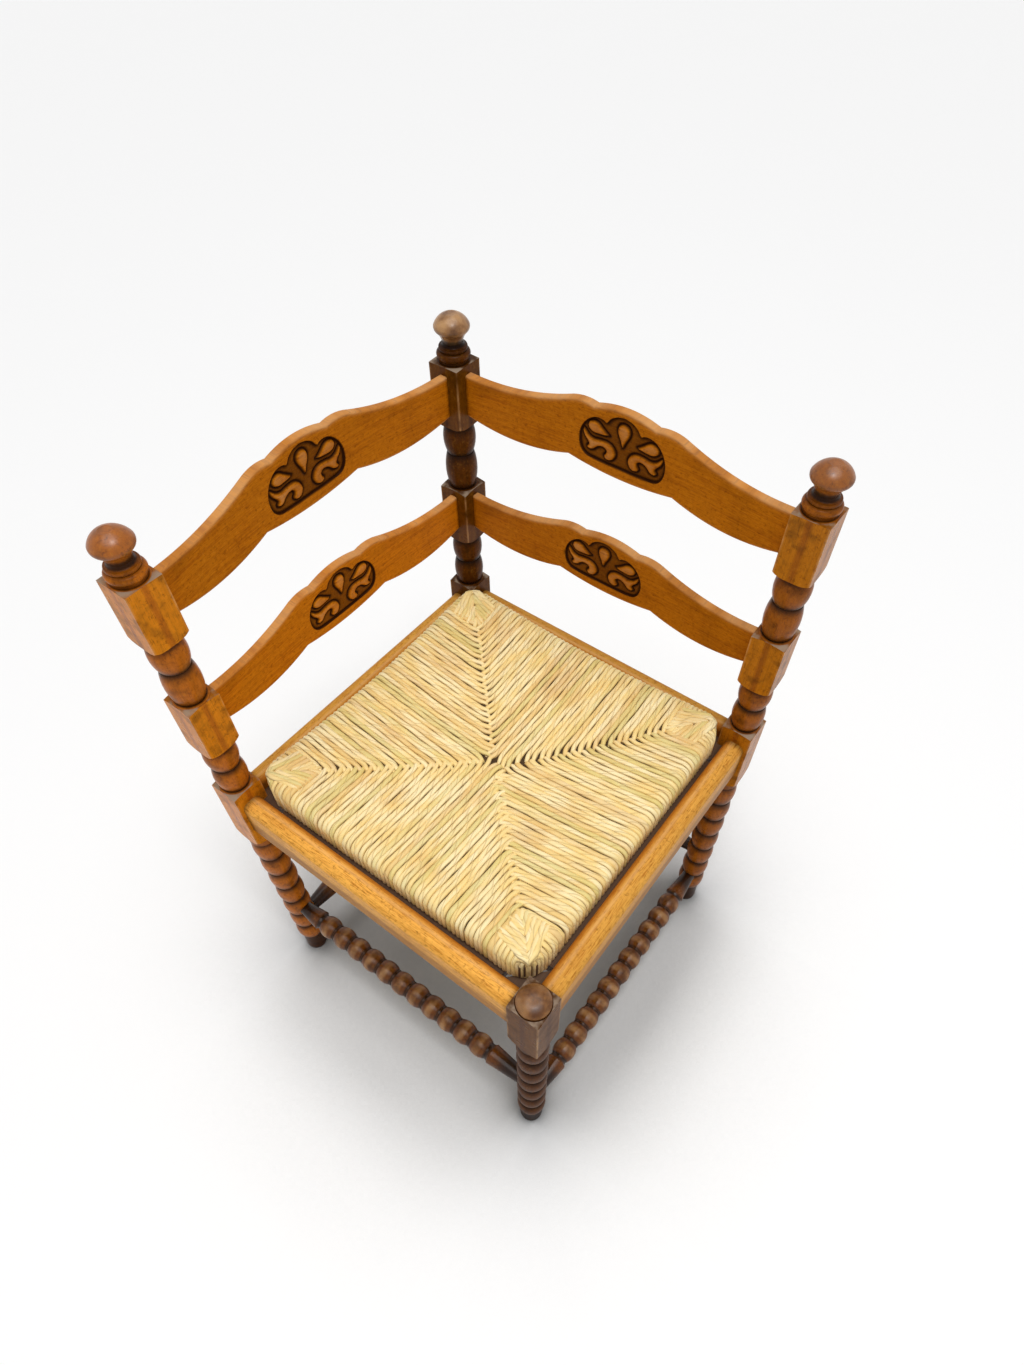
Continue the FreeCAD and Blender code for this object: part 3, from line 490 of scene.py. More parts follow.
def carved_height(x, z, depth):
    """Height of the carved face, 0 on the plain board, and its stain with painted shade and its rubbing with
    painted highlight. The panel drops at its edge to a ground that lies deepest beside each outline and
    bears the marks of the gouge. Every leaf rises from it with a steep side and a rounded top, stained and
    darkened with painted shade at its foot, and rubbed and lit with a painted highlight on its crown."""
    panel = inside_by(x, z, drawn_line(PANEL, True))
    leaf = inside_by(x, z, drawn_line(TEARDROP, True))
    for outline in (PETAL, SCROLL):
        leaf = np.maximum(leaf, inside_by(np.abs(x), z, drawn_line(outline, False)))
    groove = np.maximum(fade(-leaf, 1.6), fade(panel, 2.6))
    gouged = 0.2 * np.sin(x * 1.9 + 1.3 * np.sin(z * 0.9)) * np.sin(z * 1.3 + x * 0.4)
    ground = ((gouged - depth * 0.55) * (1 - groove) - depth * groove) * smooth(panel / 1.2)
    crown = -depth + (depth - 0.9) * smooth(leaf / 1.6) + 1.6 * (1 - np.exp(-np.maximum(leaf, 0) / 3.0))
    height = np.where(leaf > 0, crown, np.minimum(ground, 0))
    # Ground dark with stain, darker beside the outlines as painted shade
    sunk = (0.6 + 0.4 * groove) * smooth(panel / 0.8 + 0.4)
    # Leaves dark at their foot: stain and painted shade
    stain = np.where(leaf > 0, 0.95 * (1 - smooth(leaf / 2.2)), sunk)
    # Leaf crowns pale: rubbing and painted highlight
    rub = np.where(leaf > 0, 0.35 * smooth((leaf - 1.4) / 2.4), 0.0)
    return height, stain, rub


def carved_splat(name, place, side, level, bow, shift, scale, form):
    """Board that bows outwards by bow along a circle. The line between the posts has its middle at place
    and is turned by side degrees, and the wings' underside is at level. Each upright section runs up the
    carved inner face, over the rounded top edge, down the outer face and back under the rounded lower edge,
    and both ends are closed half a millimetre inside the blocks. The carving is drawn scale times as large
    and shift to the side. The UV map has x and the height in metres. The grid is fine where the carving
    lies, within 56 mm of the middle, and has a line at each corner of the edges."""
    r = form.rounding / MM
    fine = np.linspace(-56, 56, 175)
    wing = np.linspace(56, REACH + 0.5, 38)[1:]
    corners = np.array([corner[0] for corner in LOWER_EDGE[0][:-1] + UPPER_EDGE[0][:-1]])
    x = np.unique(np.concatenate([-wing, fine, wing, -corners, corners]))[:, None]
    low, high = (arches(np.minimum(np.abs(x), REACH), *edge) for edge in (LOWER_EDGE, UPPER_EDGE))
    radius = (bow * bow + REACH**2) / (2 * bow)
    curve = np.sqrt(radius**2 - x**2) - (radius - bow)
    inner, outer = curve - HALF_BOARD, curve + HALF_BOARD
    up = straight(low + r, high - r, 108)
    across = np.broadcast_to((x - shift) / scale, up.shape)
    drawn_up = (up - CARVED_MIDDLE) / scale + CARVED_MIDDLE
    height, stain, rubbed = carved_height(across, drawn_up, form.carving / MM)
    parts = [
        (inner - height, up),
        bend(inner + r, high - r, r, 157.5, 90, 4),
        bend(outer - r, high - r, r, 90, 0, 5),
        (outer, straight(high - r, low + r, 9)[:, 1:-1]),
        bend(outer - r, low + r, r, 0, -90, 5),
        bend(inner + r, low + r, r, -90, -157.5, 4),
    ]
    y, z = joined(parts, curve)
    turn = math.radians(side)
    east, north = math.cos(turn), math.sin(turn)
    points = np.stack([place[0] + x * east - y * north, place[1] + x * north + y * east, z + level], -1)
    ends = points[[0, -1]].mean(1)
    quads, fans = (np.roll(kind[:, ::-1], 1, 1) for kind in tube_faces(*y.shape))

    # Stain with painted shade in the carving, and rubbing with painted highlight along the face's edges, the
    # nine rows over the top and eight below
    rows = up.shape[1]
    carve, rub = np.zeros((2, *y.shape))
    carve[:, :rows] = stain
    edge = np.minimum(high - up, (up - low) * 1.6)
    rub[:, :rows] = np.maximum(rubbed, fade(edge, 2.6) * 0.8)
    rub[:, rows : rows + 9] = 0.75
    rub[:, -8:] = 0.6
    flat = np.stack([np.broadcast_to(x, z.shape), z], -1).reshape(-1, 2)
    poles = [[x[0, 0], 20], [x[-1, 0], 20]]
    flat = np.concatenate([flat, poles]) * MM
    return surface(
        name,
        np.concatenate([points.reshape(-1, 3), ends]),
        [quads, fans],
        "chair_frame",
        flat[np.concatenate([quads.ravel(), fans.ravel()])],
        carve=np.append(carve, [0, 0]),
        rub=np.append(rub, [0, 0]),
    )


# Materials


def add(tree, kind, inputs=None, output=0, **settings):
    """Adds a node and sets its properties. Each input is linked if it is given a socket, and otherwise gets
    its value, with a colour made opaque. Returns the output of that number or name, if there is one."""
    node = tree.nodes.new("ShaderNode" + kind)
    for key, value in settings.items():
        setattr(node, key, value)
    for key, value in (inputs or {}).items():
        socket = node.inputs[key]
        if isinstance(value, bpy.types.NodeSocket):
            tree.links.new(value, socket)
        else:
            socket.default_value = (*value, 1.0) if socket.type == "RGBA" else value
    return node.outputs[output] if node.outputs else None


def new_material(name):
    """Empty material and its node tree."""
    made = bpy.data.materials.new(name)
    made.use_nodes = True
    made.node_tree.nodes.clear()
    return made, made.node_tree


def dimmed(tone, share):
    """Colour at a share of its brightness."""
    return tuple(c * share for c in tone)


def mask(tree, *steps):
    """How strongly something shows: all steps multiplied. A step is a number or a socket, or one of these
    with a low and a high, which gives 0 at low, 1 at high and eases between."""
    strength = None
    for step in steps:
        if isinstance(step, tuple):
            inputs = dict(zip(("Value", "From Min", "From Max"), step))
            step = add(tree, "MapRange", inputs, interpolation_type="SMOOTHSTEP")
        if strength is None:
            strength = step
        else:
            strength = add(tree, "Math", {0: strength, 1: step}, operation="MULTIPLY")
    return strength


def over(tree, tone, colour, *steps, blend="MIX"):
    """Lays a colour over a tone as strongly as the mask of these steps says."""
    inputs = {0: mask(tree, *steps), 6: tone, 7: colour}
    return add(tree, "Mix", inputs, 2, data_type="RGBA", blend_type=blend)


def close(tree, tone, rough, relief, **sockets):
    """Ends a material in a Principled shader. rough is a pattern's socket and the roughness where that is 0
    and 1. relief is a pattern's socket, and the strength and depth in metres of its bumps."""
    inputs = {key.replace("_", " "): value for key, value in sockets.items()}
    inputs["Base Color"] = tone
    inputs["Roughness"] = add(tree, "MapRange", dict(zip(("Value", "To Min", "To Max"), rough)))
    inputs["Normal"] = add(tree, "Bump", dict(zip(("Height", "Strength", "Distance"), relief)))
    add(tree, "OutputMaterial", {"Surface": add(tree, "BsdfPrincipled", inputs)})


def fibres(tree, place, scale, detail, bent=0.0):
    """Noise drawn out along the grain. scale is how many of its waves go to a metre in each direction."""
    place = add(tree, "Mapping", {"Vector": place, "Scale": scale})
    return add(tree, "TexNoise", {"Vector": place, "Scale": 1.0, "Detail": detail, "Distortion": bent})


def mottled(tree, place, tone):
    """Stain that took unevenly: specks 2 to 5 mm across, darker or lighter."""
    speck = add(tree, "TexNoise", {"Vector": place, "Scale": 260.0, "Detail": 5.0, "Roughness": 0.75})
    tone = over(tree, tone, (0.35, 0.28, 0.22), (speck, 0.52, 0.70), 0.7, blend="MULTIPLY")
    return over(tree, tone, (0.1, 0.055, 0.008), (speck, 0.48, 0.3), 0.6, blend="ADD")


def grain(tree, along, turn):
    """Long grain: the Object coordinates turned about the upright so that they lie with the piece, streaks
    3 mm wide and 90 mm long, and pores 0.7 mm wide and 12 mm long. along is the axis of the grain."""
    place = add(tree, "TexCoord", output="Object")
    lie = add(tree, "VectorRotate", {"Vector": place, "Angle": turn}, rotation_type="Z_AXIS")
    coarse, fine = [330.0] * 3, [1400.0] * 3
    coarse[along], fine[along] = 11.0, 80.0
    return lie, fibres(tree, lie, coarse, 4.0, 0.6), fibres(tree, lie, fine, 2.0)


def off_axis(tree, lie, along, level):
    """Distance from the axis of a post, which stands POST out in both directions, or of a stretcher at level,
    which lies POST out in one. The coordinate along that axis is struck out first."""
    keep, axis = [1.0] * 3, [POST * MM, POST * MM, level * MM]
    keep[along] = axis[along] = 0.0
    mirrored = add(tree, "VectorMath", {0: lie}, operation="ABSOLUTE")
    flat = add(tree, "VectorMath", {0: mirrored, 1: keep}, operation="MULTIPLY")
    return add(tree, "VectorMath", {0: flat, 1: axis}, "Value", operation="DISTANCE")


def waxed(tree, tone, finish, lie, pore, patch, wear_and_highlight):
    """Old wax over turned and stained beech: dark in patches and pores, mottled, and pale where rubbed,
    partly a painted highlight.
    """
    tone = over(tree, tone, finish.dark_wax_and_shade, (patch, 0.48, 0.7), 0.4)
    tone = over(tree, tone, finish.dark_wax_and_shade, (pore, 0.55, 0.72), 0.4)
    return over(tree, mottled(tree, lie, tone), finish.wear_and_highlight, wear_and_highlight, (patch, 0.75, 0.2))


def upright_wood(name, finish, shade, crown, gloss, shine):
    """Turned beech, stained dark and waxed: satin gloss, near-black wax with painted shade in the nicks,
    rubbed lighter on the square blocks, bare grey end grain on their tops, patches 17 mm across. shade
    multiplies the stain's brightness, which makes lit and shaded copies of one stain: painted light and
    shade. Above crown, in metres, the shape closes in a ball or button: only its neck is dark, with painted
    shade, and gloss tells how far it is polished pale, partly wear and partly a painted sheen. shine is the
    wax's specular level. The distance off the axis tells the nicks, under 18 mm, from the blocks' faces, from
    18.6 mm, and their corners, at 26.3 mm."""
    made, tree = new_material(name)
    # Stain at shade: lit and shaded copies of one stain, painted light and shade
    stain, light = dimmed(finish.stain, shade), dimmed(finish.stain_light, shade)
    lie, streak, pore = grain(tree, 2, math.radians(-45))
    height = add(tree, "SeparateXYZ", {0: lie}, 2)
    off = off_axis(tree, lie, 2, 0.0)
    patch = add(tree, "TexNoise", {"Vector": lie, "Scale": 60.0, "Detail": 4.0})
    tone = over(tree, stain, dimmed(stain, 0.8), (streak, 0.35, 0.75))
    rubbed = over(tree, light, dimmed(light, 0.82), (streak, 0.35, 0.75))
    tone = over(tree, tone, rubbed, (off, 0.0185, 0.0192))
    closed = mask(tree, (height, crown - 0.001, crown + 0.001))
    tone = over(tree, tone, dimmed(finish.stain, 0.45), closed, 0.45)

    # Wax and painted shade in the nicks below the crown, less so on the ringed collar, and in the neck under
    # the ball
    ringed = mask(tree, (height, COLLAR - 0.0015, COLLAR + 0.0015), 0.55)
    covered = add(tree, "Math", {0: closed, 1: ringed}, operation="MAXIMUM")
    uncovered = add(tree, "Math", {0: 1.0, 1: covered}, operation="SUBTRACT")
    nick = mask(tree, (off, 0.0180, 0.0150), uncovered)
    above = add(tree, "Math", {0: height, 1: NECK}, operation="SUBTRACT")
    from_neck = add(tree, "Math", {0: above}, operation="ABSOLUTE")
    neck = mask(tree, (from_neck, 0.009, 0.003), (off, 0.0140, 0.0112))
    nick_wax_and_shade = add(tree, "Math", {0: nick, 1: neck}, operation="MAXIMUM")

    # Pale where hands wear it, partly painted highlight and sheen: the blocks' corners and the ball
    corner, ball = mask(tree, (off, 0.0246, 0.0262), 0.5), mask(tree, closed, gloss)
    wear_and_highlight = add(tree, "Math", {0: corner, 1: ball}, operation="MAXIMUM")
    tone = waxed(tree, tone, finish, lie, pore, patch, wear_and_highlight)
    normal = add(tree, "NewGeometry", output="Normal")
    bare = mask(tree, (add(tree, "SeparateXYZ", {0: normal}, 2), 0.8, 0.95), (off, 0.0172, 0.0184))
    tone = over(tree, tone, dimmed(stain, 0.2), bare, 0.6)
    tone = over(tree, tone, finish.end_grain, bare, (patch, 0.4, 0.62), 0.8)
    # Near-black nicks and neck: wax and painted shade
    tone = over(tree, tone, finish.dark_wax_and_shade, nick_wax_and_shade, 0.9)
    level = add(tree, "Math", {0: closed, 1: 0.3, 2: shine}, operation="MULTIPLY_ADD")
    close(tree, tone, (patch, 0.2, 0.4), (streak, 0.15, 0.0003), IOR=1.5, Specular_IOR_Level=level)
    return made


def stretcher_wood(name, finish, along, level):
    """Turned beech as on the uprights, but darker, partly as painted shade low under the seat, and glossier,
    with wax and painted shade between the bobbins and their crowns pale with wear and painted highlight.
    along is the axis that the stretcher follows and level its height in millimetres."""
    made, tree = new_material(name)
    # Stain at 0.4 of its brightness: partly painted shade of the low stretchers
    stain = dimmed(finish.stain, 0.4)
    lie, streak, pore = grain(tree, along, math.radians(-45))
    off = off_axis(tree, lie, along, level)
    patch = add(tree, "TexNoise", {"Vector": lie, "Scale": 60.0, "Detail": 4.0})
    tone = over(tree, stain, dimmed(stain, 0.8), (streak, 0.35, 0.75))
    # Bobbins' crowns pale: wear and painted highlight
    tone = waxed(tree, tone, finish, lie, pore, patch, mask(tree, (off, 0.0140, 0.0151), 0.5))
    # Between the bobbins near-black: wax and painted shade
    tone = over(tree, tone, finish.dark_wax_and_shade, (off, 0.0132, 0.0108), 0.9)
    close(tree, tone, (patch, 0.2, 0.4), (streak, 0.15, 0.0003), IOR=1.5, Specular_IOR_Level=0.25)
    return made


def rail_wood(name, finish, turn, shade):
    """Beech rail, stained golden and waxed: short dark flecks in a lengthwise grain, painted shade inside
    next to the rush and low on the outside, and darker at both ends. The ridge beside the rush is pale with a
    painted highlight, partly rubbed. Patches are 71 mm across. shade multiplies the gold's brightness, which
    makes lit and shaded copies of one gold: painted light and shade."""
    made, tree = new_material(name)
    lie, streak, pore = grain(tree, 0, turn)
    mirrored = add(tree, "VectorMath", {0: lie}, operation="ABSOLUTE")
    along, side, height = add(tree, "SeparateXYZ", {0: mirrored}).node.outputs
    patch = add(tree, "TexNoise", {"Vector": lie, "Scale": 14.0, "Detail": 3.0})
    # Gold at shade: lit and shaded copies, painted light and shade
    tone = over(tree, dimmed(finish.rail, shade), finish.rail_streak, (streak, 0.45, 0.75), 0.5)
    tone = over(tree, tone, finish.rail_streak, (pore, 0.52, 0.66), 0.8)
    tone = over(tree, tone, finish.stain, (patch, 0.5, 0.75), 0.35)
    tone = mottled(tree, lie, tone)
    # Painted shade on the inner slope next to the rush
    tone = over(tree, tone, finish.stain, (side, RIDGE + 0.0005, RIDGE - 0.0065), 0.75)
    beyond = add(tree, "Math", {0: side, 1: RIDGE}, operation="SUBTRACT")
    from_ridge = add(tree, "Math", {0: beyond}, operation="ABSOLUTE")
    # Painted highlight along the ridge, partly rubbed wear
    tone = over(tree, tone, finish.wear_and_highlight, (from_ridge, 0.0035, 0.0), 0.35)
    # Painted shade low on the outer face
    tone = over(tree, tone, dimmed(finish.stain, 0.5), (height, 0.398, 0.384), 0.6)
    tone = over(tree, tone, finish.dark_wax_and_shade, (along, 0.176, 0.187), 0.6)
    close(tree, tone, (patch, 0.3, 0.45), (pore, 0.2, 0.0003), IOR=1.5, Specular_IOR_Level=0.04)
    return made


def splat_wood(name, finish, shade):
    """Carved beech board, stained orange-brown and waxed: fine lengthwise grain, streaks 3 mm and pores 0.7
    mm wide, patches 59 mm across, dark stain with painted shade in the carving, lighter along its edges
    with rubbing and painted highlight. The grain follows the board's own UV map in metres. shade multiplies
    the stain's brightness, which makes lit and shaded copies of one stain: painted light and shade."""
    made, tree = new_material(name)
    # Face at shade: lit and shaded copies of one stain, painted light and shade
    face, dark_grain = dimmed(finish.splat, shade), dimmed(finish.splat_streak, shade)
    place = add(tree, "UVMap", uv_map="UVMap")
    streak = fibres(tree, place, (9.0, 330.0, 1.0), 5.0, 0.9)
    pore = fibres(tree, place, (90.0, 1500.0, 1.0), 2.0)
    patch = add(tree, "TexNoise", {"Vector": place, "Scale": 17.0, "Detail": 3.0})
    tone = over(tree, face, dark_grain, (streak, 0.4, 0.75), 0.6)
    tone = over(tree, tone, finish.stain_light, (patch, 0.42, 0.75), 0.5)
    tone = over(tree, tone, dimmed(dark_grain, 0.4), (patch, 0.5, 0.3), 0.3)
    tone = over(tree, tone, dark_grain, (pore, 0.5, 0.66), 0.6)
    tone = mottled(tree, place, tone)
    # Pale edges and leaf crowns: rubbing and painted highlight
    rub = add(tree, "Attribute", output="Fac", attribute_name="rub")
    broken = add(tree, "Math", {0: mask(tree, (patch, 0.35, 0.65)), 1: 0.6, 2: 0.2}, operation="MULTIPLY_ADD")
    tone = over(tree, tone, finish.wear_and_highlight, rub, broken)
    # Dark carving: stain and painted shade in the grooves and at the leaves' feet
    carve = add(tree, "Attribute", output="Fac", attribute_name="carve")
    tone = over(tree, tone, finish.carved, (carve, 0.02, 1.0))
    close(tree, tone, (patch, 0.42, 0.58), (streak, 0.2, 0.0004), IOR=1.5, Specular_IOR_Level=0.03)
    return made


def bare_wood(name, finish):
    """Sawn beech without stain, darkened by age and dust: dry and matt, with a soft grain."""
    made, tree = new_material(name)
    streak, pore = grain(tree, 0, math.radians(-45))[1:]
    tone = over(tree, finish.bare, dimmed(finish.bare, 0.7), (streak, 0.3, 0.7))
    close(tree, tone, (streak, 0.6, 0.75), (pore, 0.4, 0.0004), IOR=1.5)
    return made


def twisted_rush(name, finish):
    """Dried rush twisted into cord: every strand its own straw, tan or greenish tone, painted shade along
    both flanks, slanting folds of the twist 24 mm apart darkened with painted shade, long leaf fibres and a
    dull shine. They follow the strand's UV map, where x goes round the strand and y is metres along it. Only
    the broad tan regions lie across strands."""
    made, tree = new_material(name)
    x, y = add(tree, "SeparateXYZ", {0: add(tree, "UVMap", uv_map="UVMap")}).node.outputs[:2]
    strand = add(tree, "Attribute", output="Fac", attribute_name="tone")
    spot = add(tree, "TexCoord", output="Object")
    region = add(tree, "TexNoise", {"Vector": spot, "Scale": 16.0, "Detail": 3.0})
    change = fibres(tree, add(tree, "CombineXYZ", {0: x, 1: y, 2: strand}), (1.0, 22.0, 7.0), 2.0)
    straw = over(tree, finish.straw, finish.straw_pale, (change, 0.35, 0.65))
    straw = over(tree, straw, finish.straw_tan, (region, 0.52, 0.7), 0.35)
    straw = over(tree, straw, finish.straw_tan, (strand, 0.72, 0.95), 0.35)
    shuffled = add(tree, "Math", {0: mask(tree, strand, 9.7)}, operation="FRACT")
    straw = over(tree, straw, finish.straw_green, (shuffled, 0.75, 0.95), 0.6)
    round_about = add(tree, "Math", {0: mask(tree, x, 2 * math.pi)}, operation="COSINE")
    flank = add(tree, "Math", {0: round_about}, operation="ABSOLUTE")
    # Painted shade along both flanks of each strand, where strands meet
    straw = over(tree, straw, dimmed(finish.straw_tan, 0.4), (flank, 0.7, 1.0), (change, 0.2, 0.6), 0.6)

    # The twist: wind counts its folds, two to a turn round the strand and 42 to a metre, bent by the leaves
    course = add(tree, "CombineXYZ", {0: x, 1: y, 2: change})
    wind = add(tree, "VectorMath", {0: course, 1: (2.0, 42.0, 1.5)}, "Value", operation="DOT_PRODUCT")
    swing = add(tree, "Math", {0: mask(tree, wind, math.pi)}, operation="SINE")
    fold = add(tree, "Math", {0: swing}, operation="ABSOLUTE")
    # Painted shade in the folds of the twist
    straw = over(tree, straw, dimmed(finish.straw_tan, 0.45), (fold, 0.34, 0.02), 0.3)
    fibre = fibres(tree, add(tree, "CombineXYZ", {0: wind, 1: y, 2: strand}), (9.0, 40.0, 7.0), 2.0)
    straw = over(tree, straw, finish.straw_tan, (fibre, 0.5, 0.75), 0.35)
    rounded = add(tree, "Math", {0: fold, 1: 0.5}, operation="POWER")
    ridge = add(tree, "Math", {0: fibre, 1: 0.35, 2: rounded}, operation="MULTIPLY_ADD")
    close(tree, straw, (fibre, 0.5, 0.72), (ridge, 0.8, 0.0007), IOR=1.45)
    return made


def packed_rush(name, finish):
    """Chopped rush packed under the strands, seen between them: dark, partly its own brown and partly painted
    shade, matt, with fibres 1.4 mm thick.
    """
    made, tree = new_material(name)
    spot = add(tree, "TexCoord", output="Object")
    fibre = add(tree, "TexNoise", {"Vector": spot, "Scale": 700.0, "Detail": 3.0})
    tone = over(tree, finish.stuffing, dimmed(finish.stuffing, 0.4), (fibre, 0.35, 0.7))
    close(tree, tone, (fibre, 0.8, 0.95), (fibre, 0.8, 0.001))
    return made


def floor_paint(name, tone):
    """Painted studio floor: even and matt, so only the soft shadow shows. Where the chair stands close over
    it, an ambient occlusion node darkens the floor's colour: a painted shadow that deepens the real one."""
    made, tree = new_material(name)
    speck = add(tree, "TexNoise", {"Vector": add(tree, "TexCoord", output="Object"), "Scale": 3.0})
    shade = over(tree, tone, dimmed(tone, 0.995), speck)
    # Painted shadow: darker floor colour where the chair is near
    near = add(tree, "AmbientOcclusion", {"Distance": 0.48}, "AO", samples=24)
    clear = add(tree, "MapRange", {"Value": near, "From Min": 0.6, "From Max": 0.96})
    shade = over(tree, dimmed(tone, 0.32), shade, clear)
    rough = add(tree, "MapRange", {"Value": speck, "To Min": 0.9, "To Max": 1.0})
    inputs = {"Base Color": shade, "Roughness": rough, "Specular IOR Level": 0.1}
    add(tree, "OutputMaterial", {"Surface": add(tree, "BsdfPrincipled", inputs)})
    return made


def dress(node, material):
    """Gives a node of the frame this material on all of its slots."""
    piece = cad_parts[node]
    piece.data.materials.clear()
    piece.data.materials.append(material)


# Operators


class CHAIR_OT_turnings(bpy.types.Operator):
    """Stain and wax the posts, the front leg and the four bobbin stretchers"""

    bl_idname = "chair.turnings"
    bl_label = "Turnings"

    def execute(self, context):
        finish = context.scene.chair_finish

        # Brightness of the stain as painted light and shade, height of the crown in metres, its pale polish
        # with painted sheen and the wax's specular level
        for node, shade, crown, gloss, shine in (
            ("front_leg", 0.27, 0.4352, 0.3, 0.02),
            ("left_post", 1.4, 0.7535, 0.0, 0.1),
            ("right_post", 0.95, 0.7535, 0.05, 0.1),
            ("back_post", 0.26, 0.7535, 0.6, 0.06),
        ):
            dress(node, upright_wood("stained_turned_beech_" + node, finish, shade, crown, gloss, shine))

        # Axis that the stretcher follows
        for side, along in (("front_left", 1), ("front_right", 0), ("back_left", 0), ("back_right", 1)):
            low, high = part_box("stretcher_" + side)
            level = (low.z + high.z) / 2 / MM
            dress("stretcher_" + side, stretcher_wood("stained_turned_beech_" + side, finish, along, level))
        return {"FINISHED"}


class CHAIR_OT_rails(bpy.types.Operator):
    """Finish the seat rails, the corner blocks and the slips of the drop-in seat"""

    bl_idname = "chair.rails"
    bl_label = "Rails"

    def execute(self, context):
        finish = context.scene.chair_finish
        bare = bare_wood("unstained_sawn_beech", finish)

        # Turn in degrees that lays the grain along the rail, and brightness of the gold as painted light and
        # shade
        for side, turn, shade in (
            ("front_left", 45, 1.1),
            ("back_right", 45, 0.62),
            ("front_right", -45, 0.88),
            ("back_left", -45, 0.75),
        ):
            gold = rail_wood("golden_beech_rail_" + side, finish, math.radians(turn), shade)
            dress("seat_rail_" + side, gold)
            dress("slip_rail_" + side, bare)
            dress("seat_cleat_" + side, bare)
        for corner in ("front", "left", "right", "back"):
            dress("corner_block_" + corner, bare)
        return {"FINISHED"}


class CHAIR_OT_splats(bpy.types.Operator):
    """Carve the four bowed back splats"""

    bl_idname = "chair.splats"
    bl_label = "Splats"

    def execute(self, context):
        form = context.scene.chair_form
        finish = context.scene.chair_finish
        middle = POST * ROOT

        # Side of the chair, height, bow, shift and scale of the carving, and brightness of the stain as
        # painted light and shade
        for board, sign, level, bow, shift, scale, shade in (
            ("upper_left", -1, 679.0, 20.0, 0.0, 1.07, 1.1),
            ("upper_right", 1, 679.0, 12.5, 0.0, 1.07, 1.03),
            ("lower_left", -1, 531.0, 9.4, 0.0, 1.08, 1.3),
            ("lower_right", 1, 531.0, 6.3, -5.0, 1.09, 0.95),
        ):
            place = (sign * middle, middle)
            made = carved_splat("carved_splat_" + board, place, -45 * sign, level, bow, shift, scale, form)
            made.data.materials.append(splat_wood("carved_splat_board_" + board, finish, shade))
            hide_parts("splat_" + board)
        return {"FINISHED"}


class CHAIR_OT_rush(bpy.types.Operator):
    """Weave the rush seat in four fields and four corners over its stuffing"""

    bl_idname = "chair.rush"
    bl_label = "Rush seat"

    def execute(self, context):
        form = context.scene.chair_form
        finish = context.scene.chair_finish
        a, b = ALONG_A, ALONG_B

        # Where the fields meet: places along each rail, and how far out its field ends there
        front_left = [(-140, 138), (-20, 18), (-14, 6), (4, 5), (9, 11), (143, 140)]
        back_right = [(-139, 141), (-20, 9), (-14, -4), (9, -4), (16, 14), (141, 141)]
        front_right = [(-138, 140), (-16, 17), (6, 17), (141, 139)]
        back_left = [(-140, 143), (-10, 9), (12, 11), (141, 141)]
        woven = [
            weave_field("rush_front_left", -a, b, front_left, 0, 11, form),
            weave_field("rush_back_right", a, b, back_right, 0, 12, form),
            weave_field("rush_front_right", -b, a, front_right, -6, 13, form),
            weave_field("rush_back_left", b, a, back_left, -4, 14, form),
        ]
        woven += weave_corners(form)
        rush = twisted_rush("twisted_rush_strand", finish)
        for piece in woven:
            piece.data.materials.append(rush)
        core = stuffing_block("rush_stuffing")
        core.data.materials.append(packed_rush("packed_rush_stuffing", finish))
        for piece in woven + [core]:
            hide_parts("rush_seat")
        return {"FINISHED"}


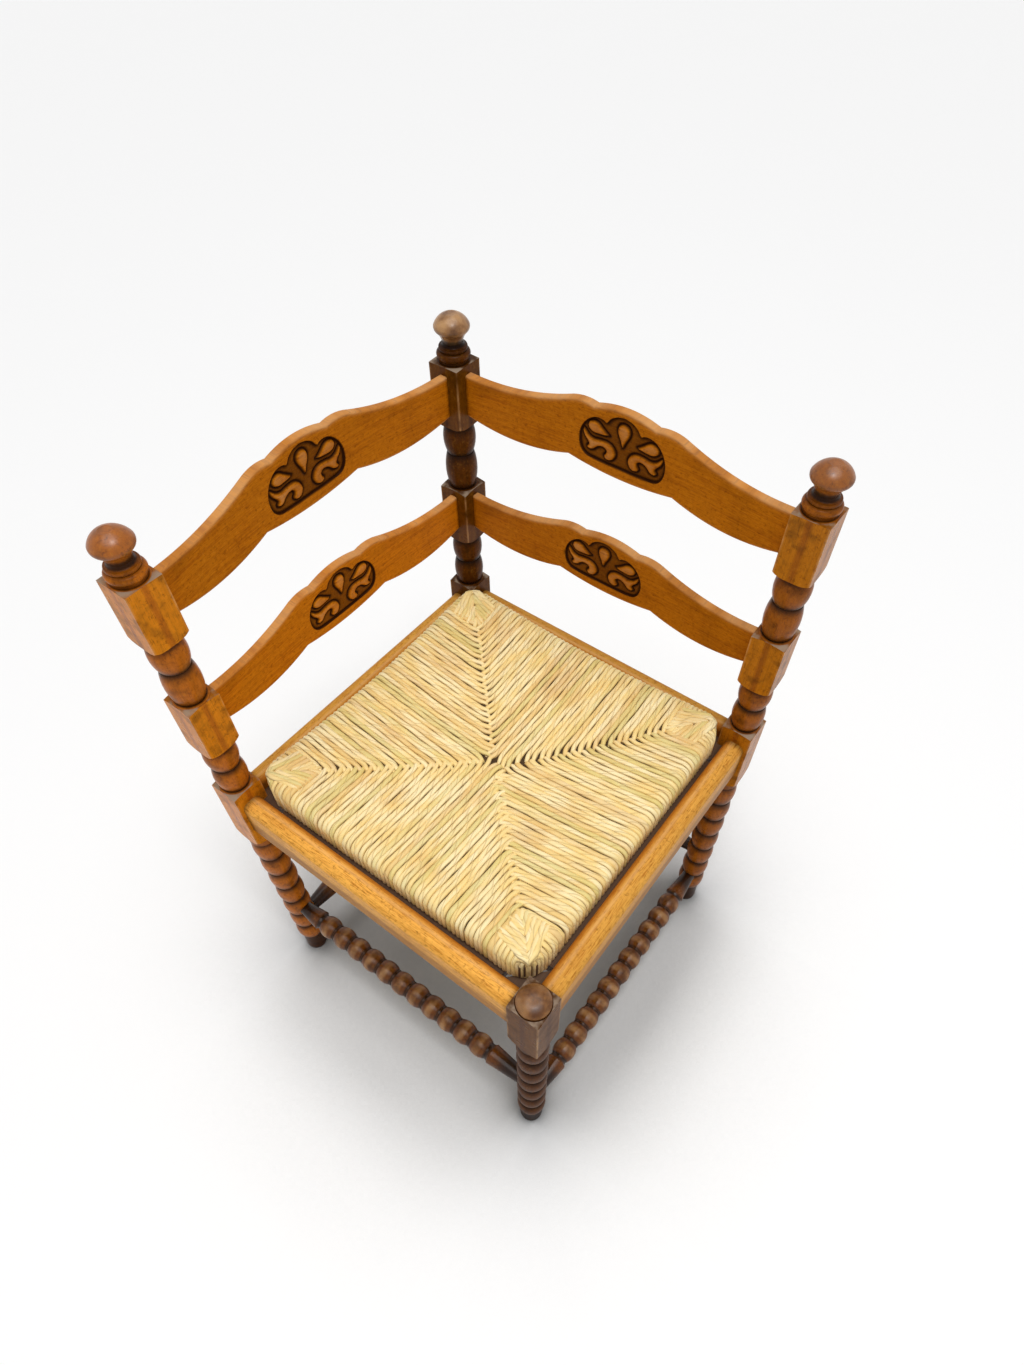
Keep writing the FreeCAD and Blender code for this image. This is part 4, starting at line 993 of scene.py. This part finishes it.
class CHAIR_OT_stage(bpy.types.Operator):
    """Set the floor, the light and the camera"""

    bl_idname = "chair.stage"
    bl_label = "Stage"

    def execute(self, context):
        stage = context.scene.chair_stage
        scene = context.scene
        scene.view_settings.view_transform = "Standard"

        # Floor: a round sheet of 9 m radius
        turn = np.linspace(0, 2 * np.pi, 96, endpoint=False)
        ring = np.stack([9 * np.cos(turn), 9 * np.sin(turn), 0 * turn], -1)
        mesh = bpy.data.meshes.new("floor")
        mesh.from_pydata(ring.tolist(), [], [list(range(len(ring)))])
        mesh.materials.append(floor_paint("pale_floor_paint", stage.floor))
        floor = bpy.data.objects.new("floor", mesh)
        scene.collection.objects.link(floor)

        # World: an even sky lights the chair, and what the camera sees behind it is plain and pale
        world = bpy.data.worlds.new("studio")
        scene.world = world
        world.use_nodes = True
        tree = world.node_tree
        tree.nodes.clear()
        path = add(tree, "LightPath").node.outputs
        seen = add(tree, "Math", {0: path["Is Camera Ray"], 1: path["Is Glossy Ray"]}, operation="MAXIMUM")
        seen = add(tree, "Math", {0: seen, 1: path["Is Transmission Ray"]}, operation="MAXIMUM")
        soft = add(tree, "Background", {"Color": (1, 1, 1), "Strength": stage.sky})
        ground = add(tree, "Background", {"Color": linear("#F9F9F9"), "Strength": 1.0})
        add(tree, "OutputWorld", {"Surface": add(tree, "MixShader", {0: seen, 1: soft, 2: ground})})

        # Lamps: a broad soft light from above and in front, and a small one for the highlights
        lamp = bpy.data.lights.new("main_light", "SUN")
        lamp.energy = stage.sun
        lamp.angle = stage.spread
        sun = bpy.data.objects.new("main_light", lamp)
        sun.rotation_euler = (math.radians(7), math.radians(1), 0)
        scene.collection.objects.link(sun)

        lamp = bpy.data.lights.new("window_light", "AREA")
        lamp.energy = 7
        lamp.size = 0.3
        window = bpy.data.objects.new("window_light", lamp)
        window.location = (0.1, -0.5, 2.4)
        window.rotation_euler = (math.radians(12), 0, 0)
        scene.collection.objects.link(window)

        # Camera: its axes from heading, pitch and roll, its lens and shift from the picture's pixels
        heading, pitch, roll = (math.radians(angle) for angle in (HEADING, PITCH, ROLL))
        level = np.array((math.sin(heading), math.cos(heading), 0))
        ahead = level * math.cos(pitch) - np.array((0, 0, math.sin(pitch)))
        right = np.array((math.cos(heading), -math.sin(heading), 0))
        up = np.cross(right, ahead)
        data = bpy.data.cameras.new("camera")
        data.sensor_width = 36
        data.sensor_fit = "AUTO"
        data.lens = FOCAL / TALL * data.sensor_width
        data.shift_x = (WIDE / 2 - AHEAD[0]) / TALL
        data.shift_y = (AHEAD[1] - TALL / 2) / TALL
        data.clip_start = 0.05
        camera = bpy.data.objects.new("camera", data)
        matrix = np.eye(4)
        matrix[:3, 0] = math.cos(roll) * right + math.sin(roll) * up
        matrix[:3, 1] = math.cos(roll) * up - math.sin(roll) * right
        matrix[:3, 2] = -ahead
        matrix[:3, 3] = EYE
        camera.matrix_world = Matrix(matrix.tolist())
        scene.collection.objects.link(camera)
        scene.camera = camera
        return {"FINISHED"}


class CHAIR_PT_steps(bpy.types.Panel):
    """Steps that finish the chair, in order"""

    bl_idname = "CHAIR_PT_steps"
    bl_label = "Corner chair"
    bl_space_type = "VIEW_3D"
    bl_region_type = "UI"
    bl_category = "Chair"

    def draw(self, context):
        for step in STEPS:
            self.layout.operator(step.bl_idname)
        for group in (context.scene.chair_finish, context.scene.chair_form, context.scene.chair_stage):
            box = self.layout.box()
            for key in group.__annotations__:
                box.prop(group, key)


GROUPS = (ChairFinish, ChairForm, ChairStage)
STEPS = (CHAIR_OT_turnings, CHAIR_OT_rails, CHAIR_OT_splats, CHAIR_OT_rush, CHAIR_OT_stage)


def register():
    for kind in GROUPS + STEPS + (CHAIR_PT_steps,):
        bpy.utils.register_class(kind)
    bpy.types.Scene.chair_finish = PointerProperty(type=ChairFinish)
    bpy.types.Scene.chair_form = PointerProperty(type=ChairForm)
    bpy.types.Scene.chair_stage = PointerProperty(type=ChairStage)


def unregister():
    del bpy.types.Scene.chair_finish
    del bpy.types.Scene.chair_form
    del bpy.types.Scene.chair_stage
    for kind in reversed(GROUPS + STEPS + (CHAIR_PT_steps,)):
        bpy.utils.unregister_class(kind)


def main():
    register()
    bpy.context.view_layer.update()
    bpy.ops.chair.turnings()
    bpy.ops.chair.rails()
    bpy.ops.chair.splats()
    bpy.ops.chair.rush()
    bpy.ops.chair.stage()


if __name__ == "__main__":
    main()
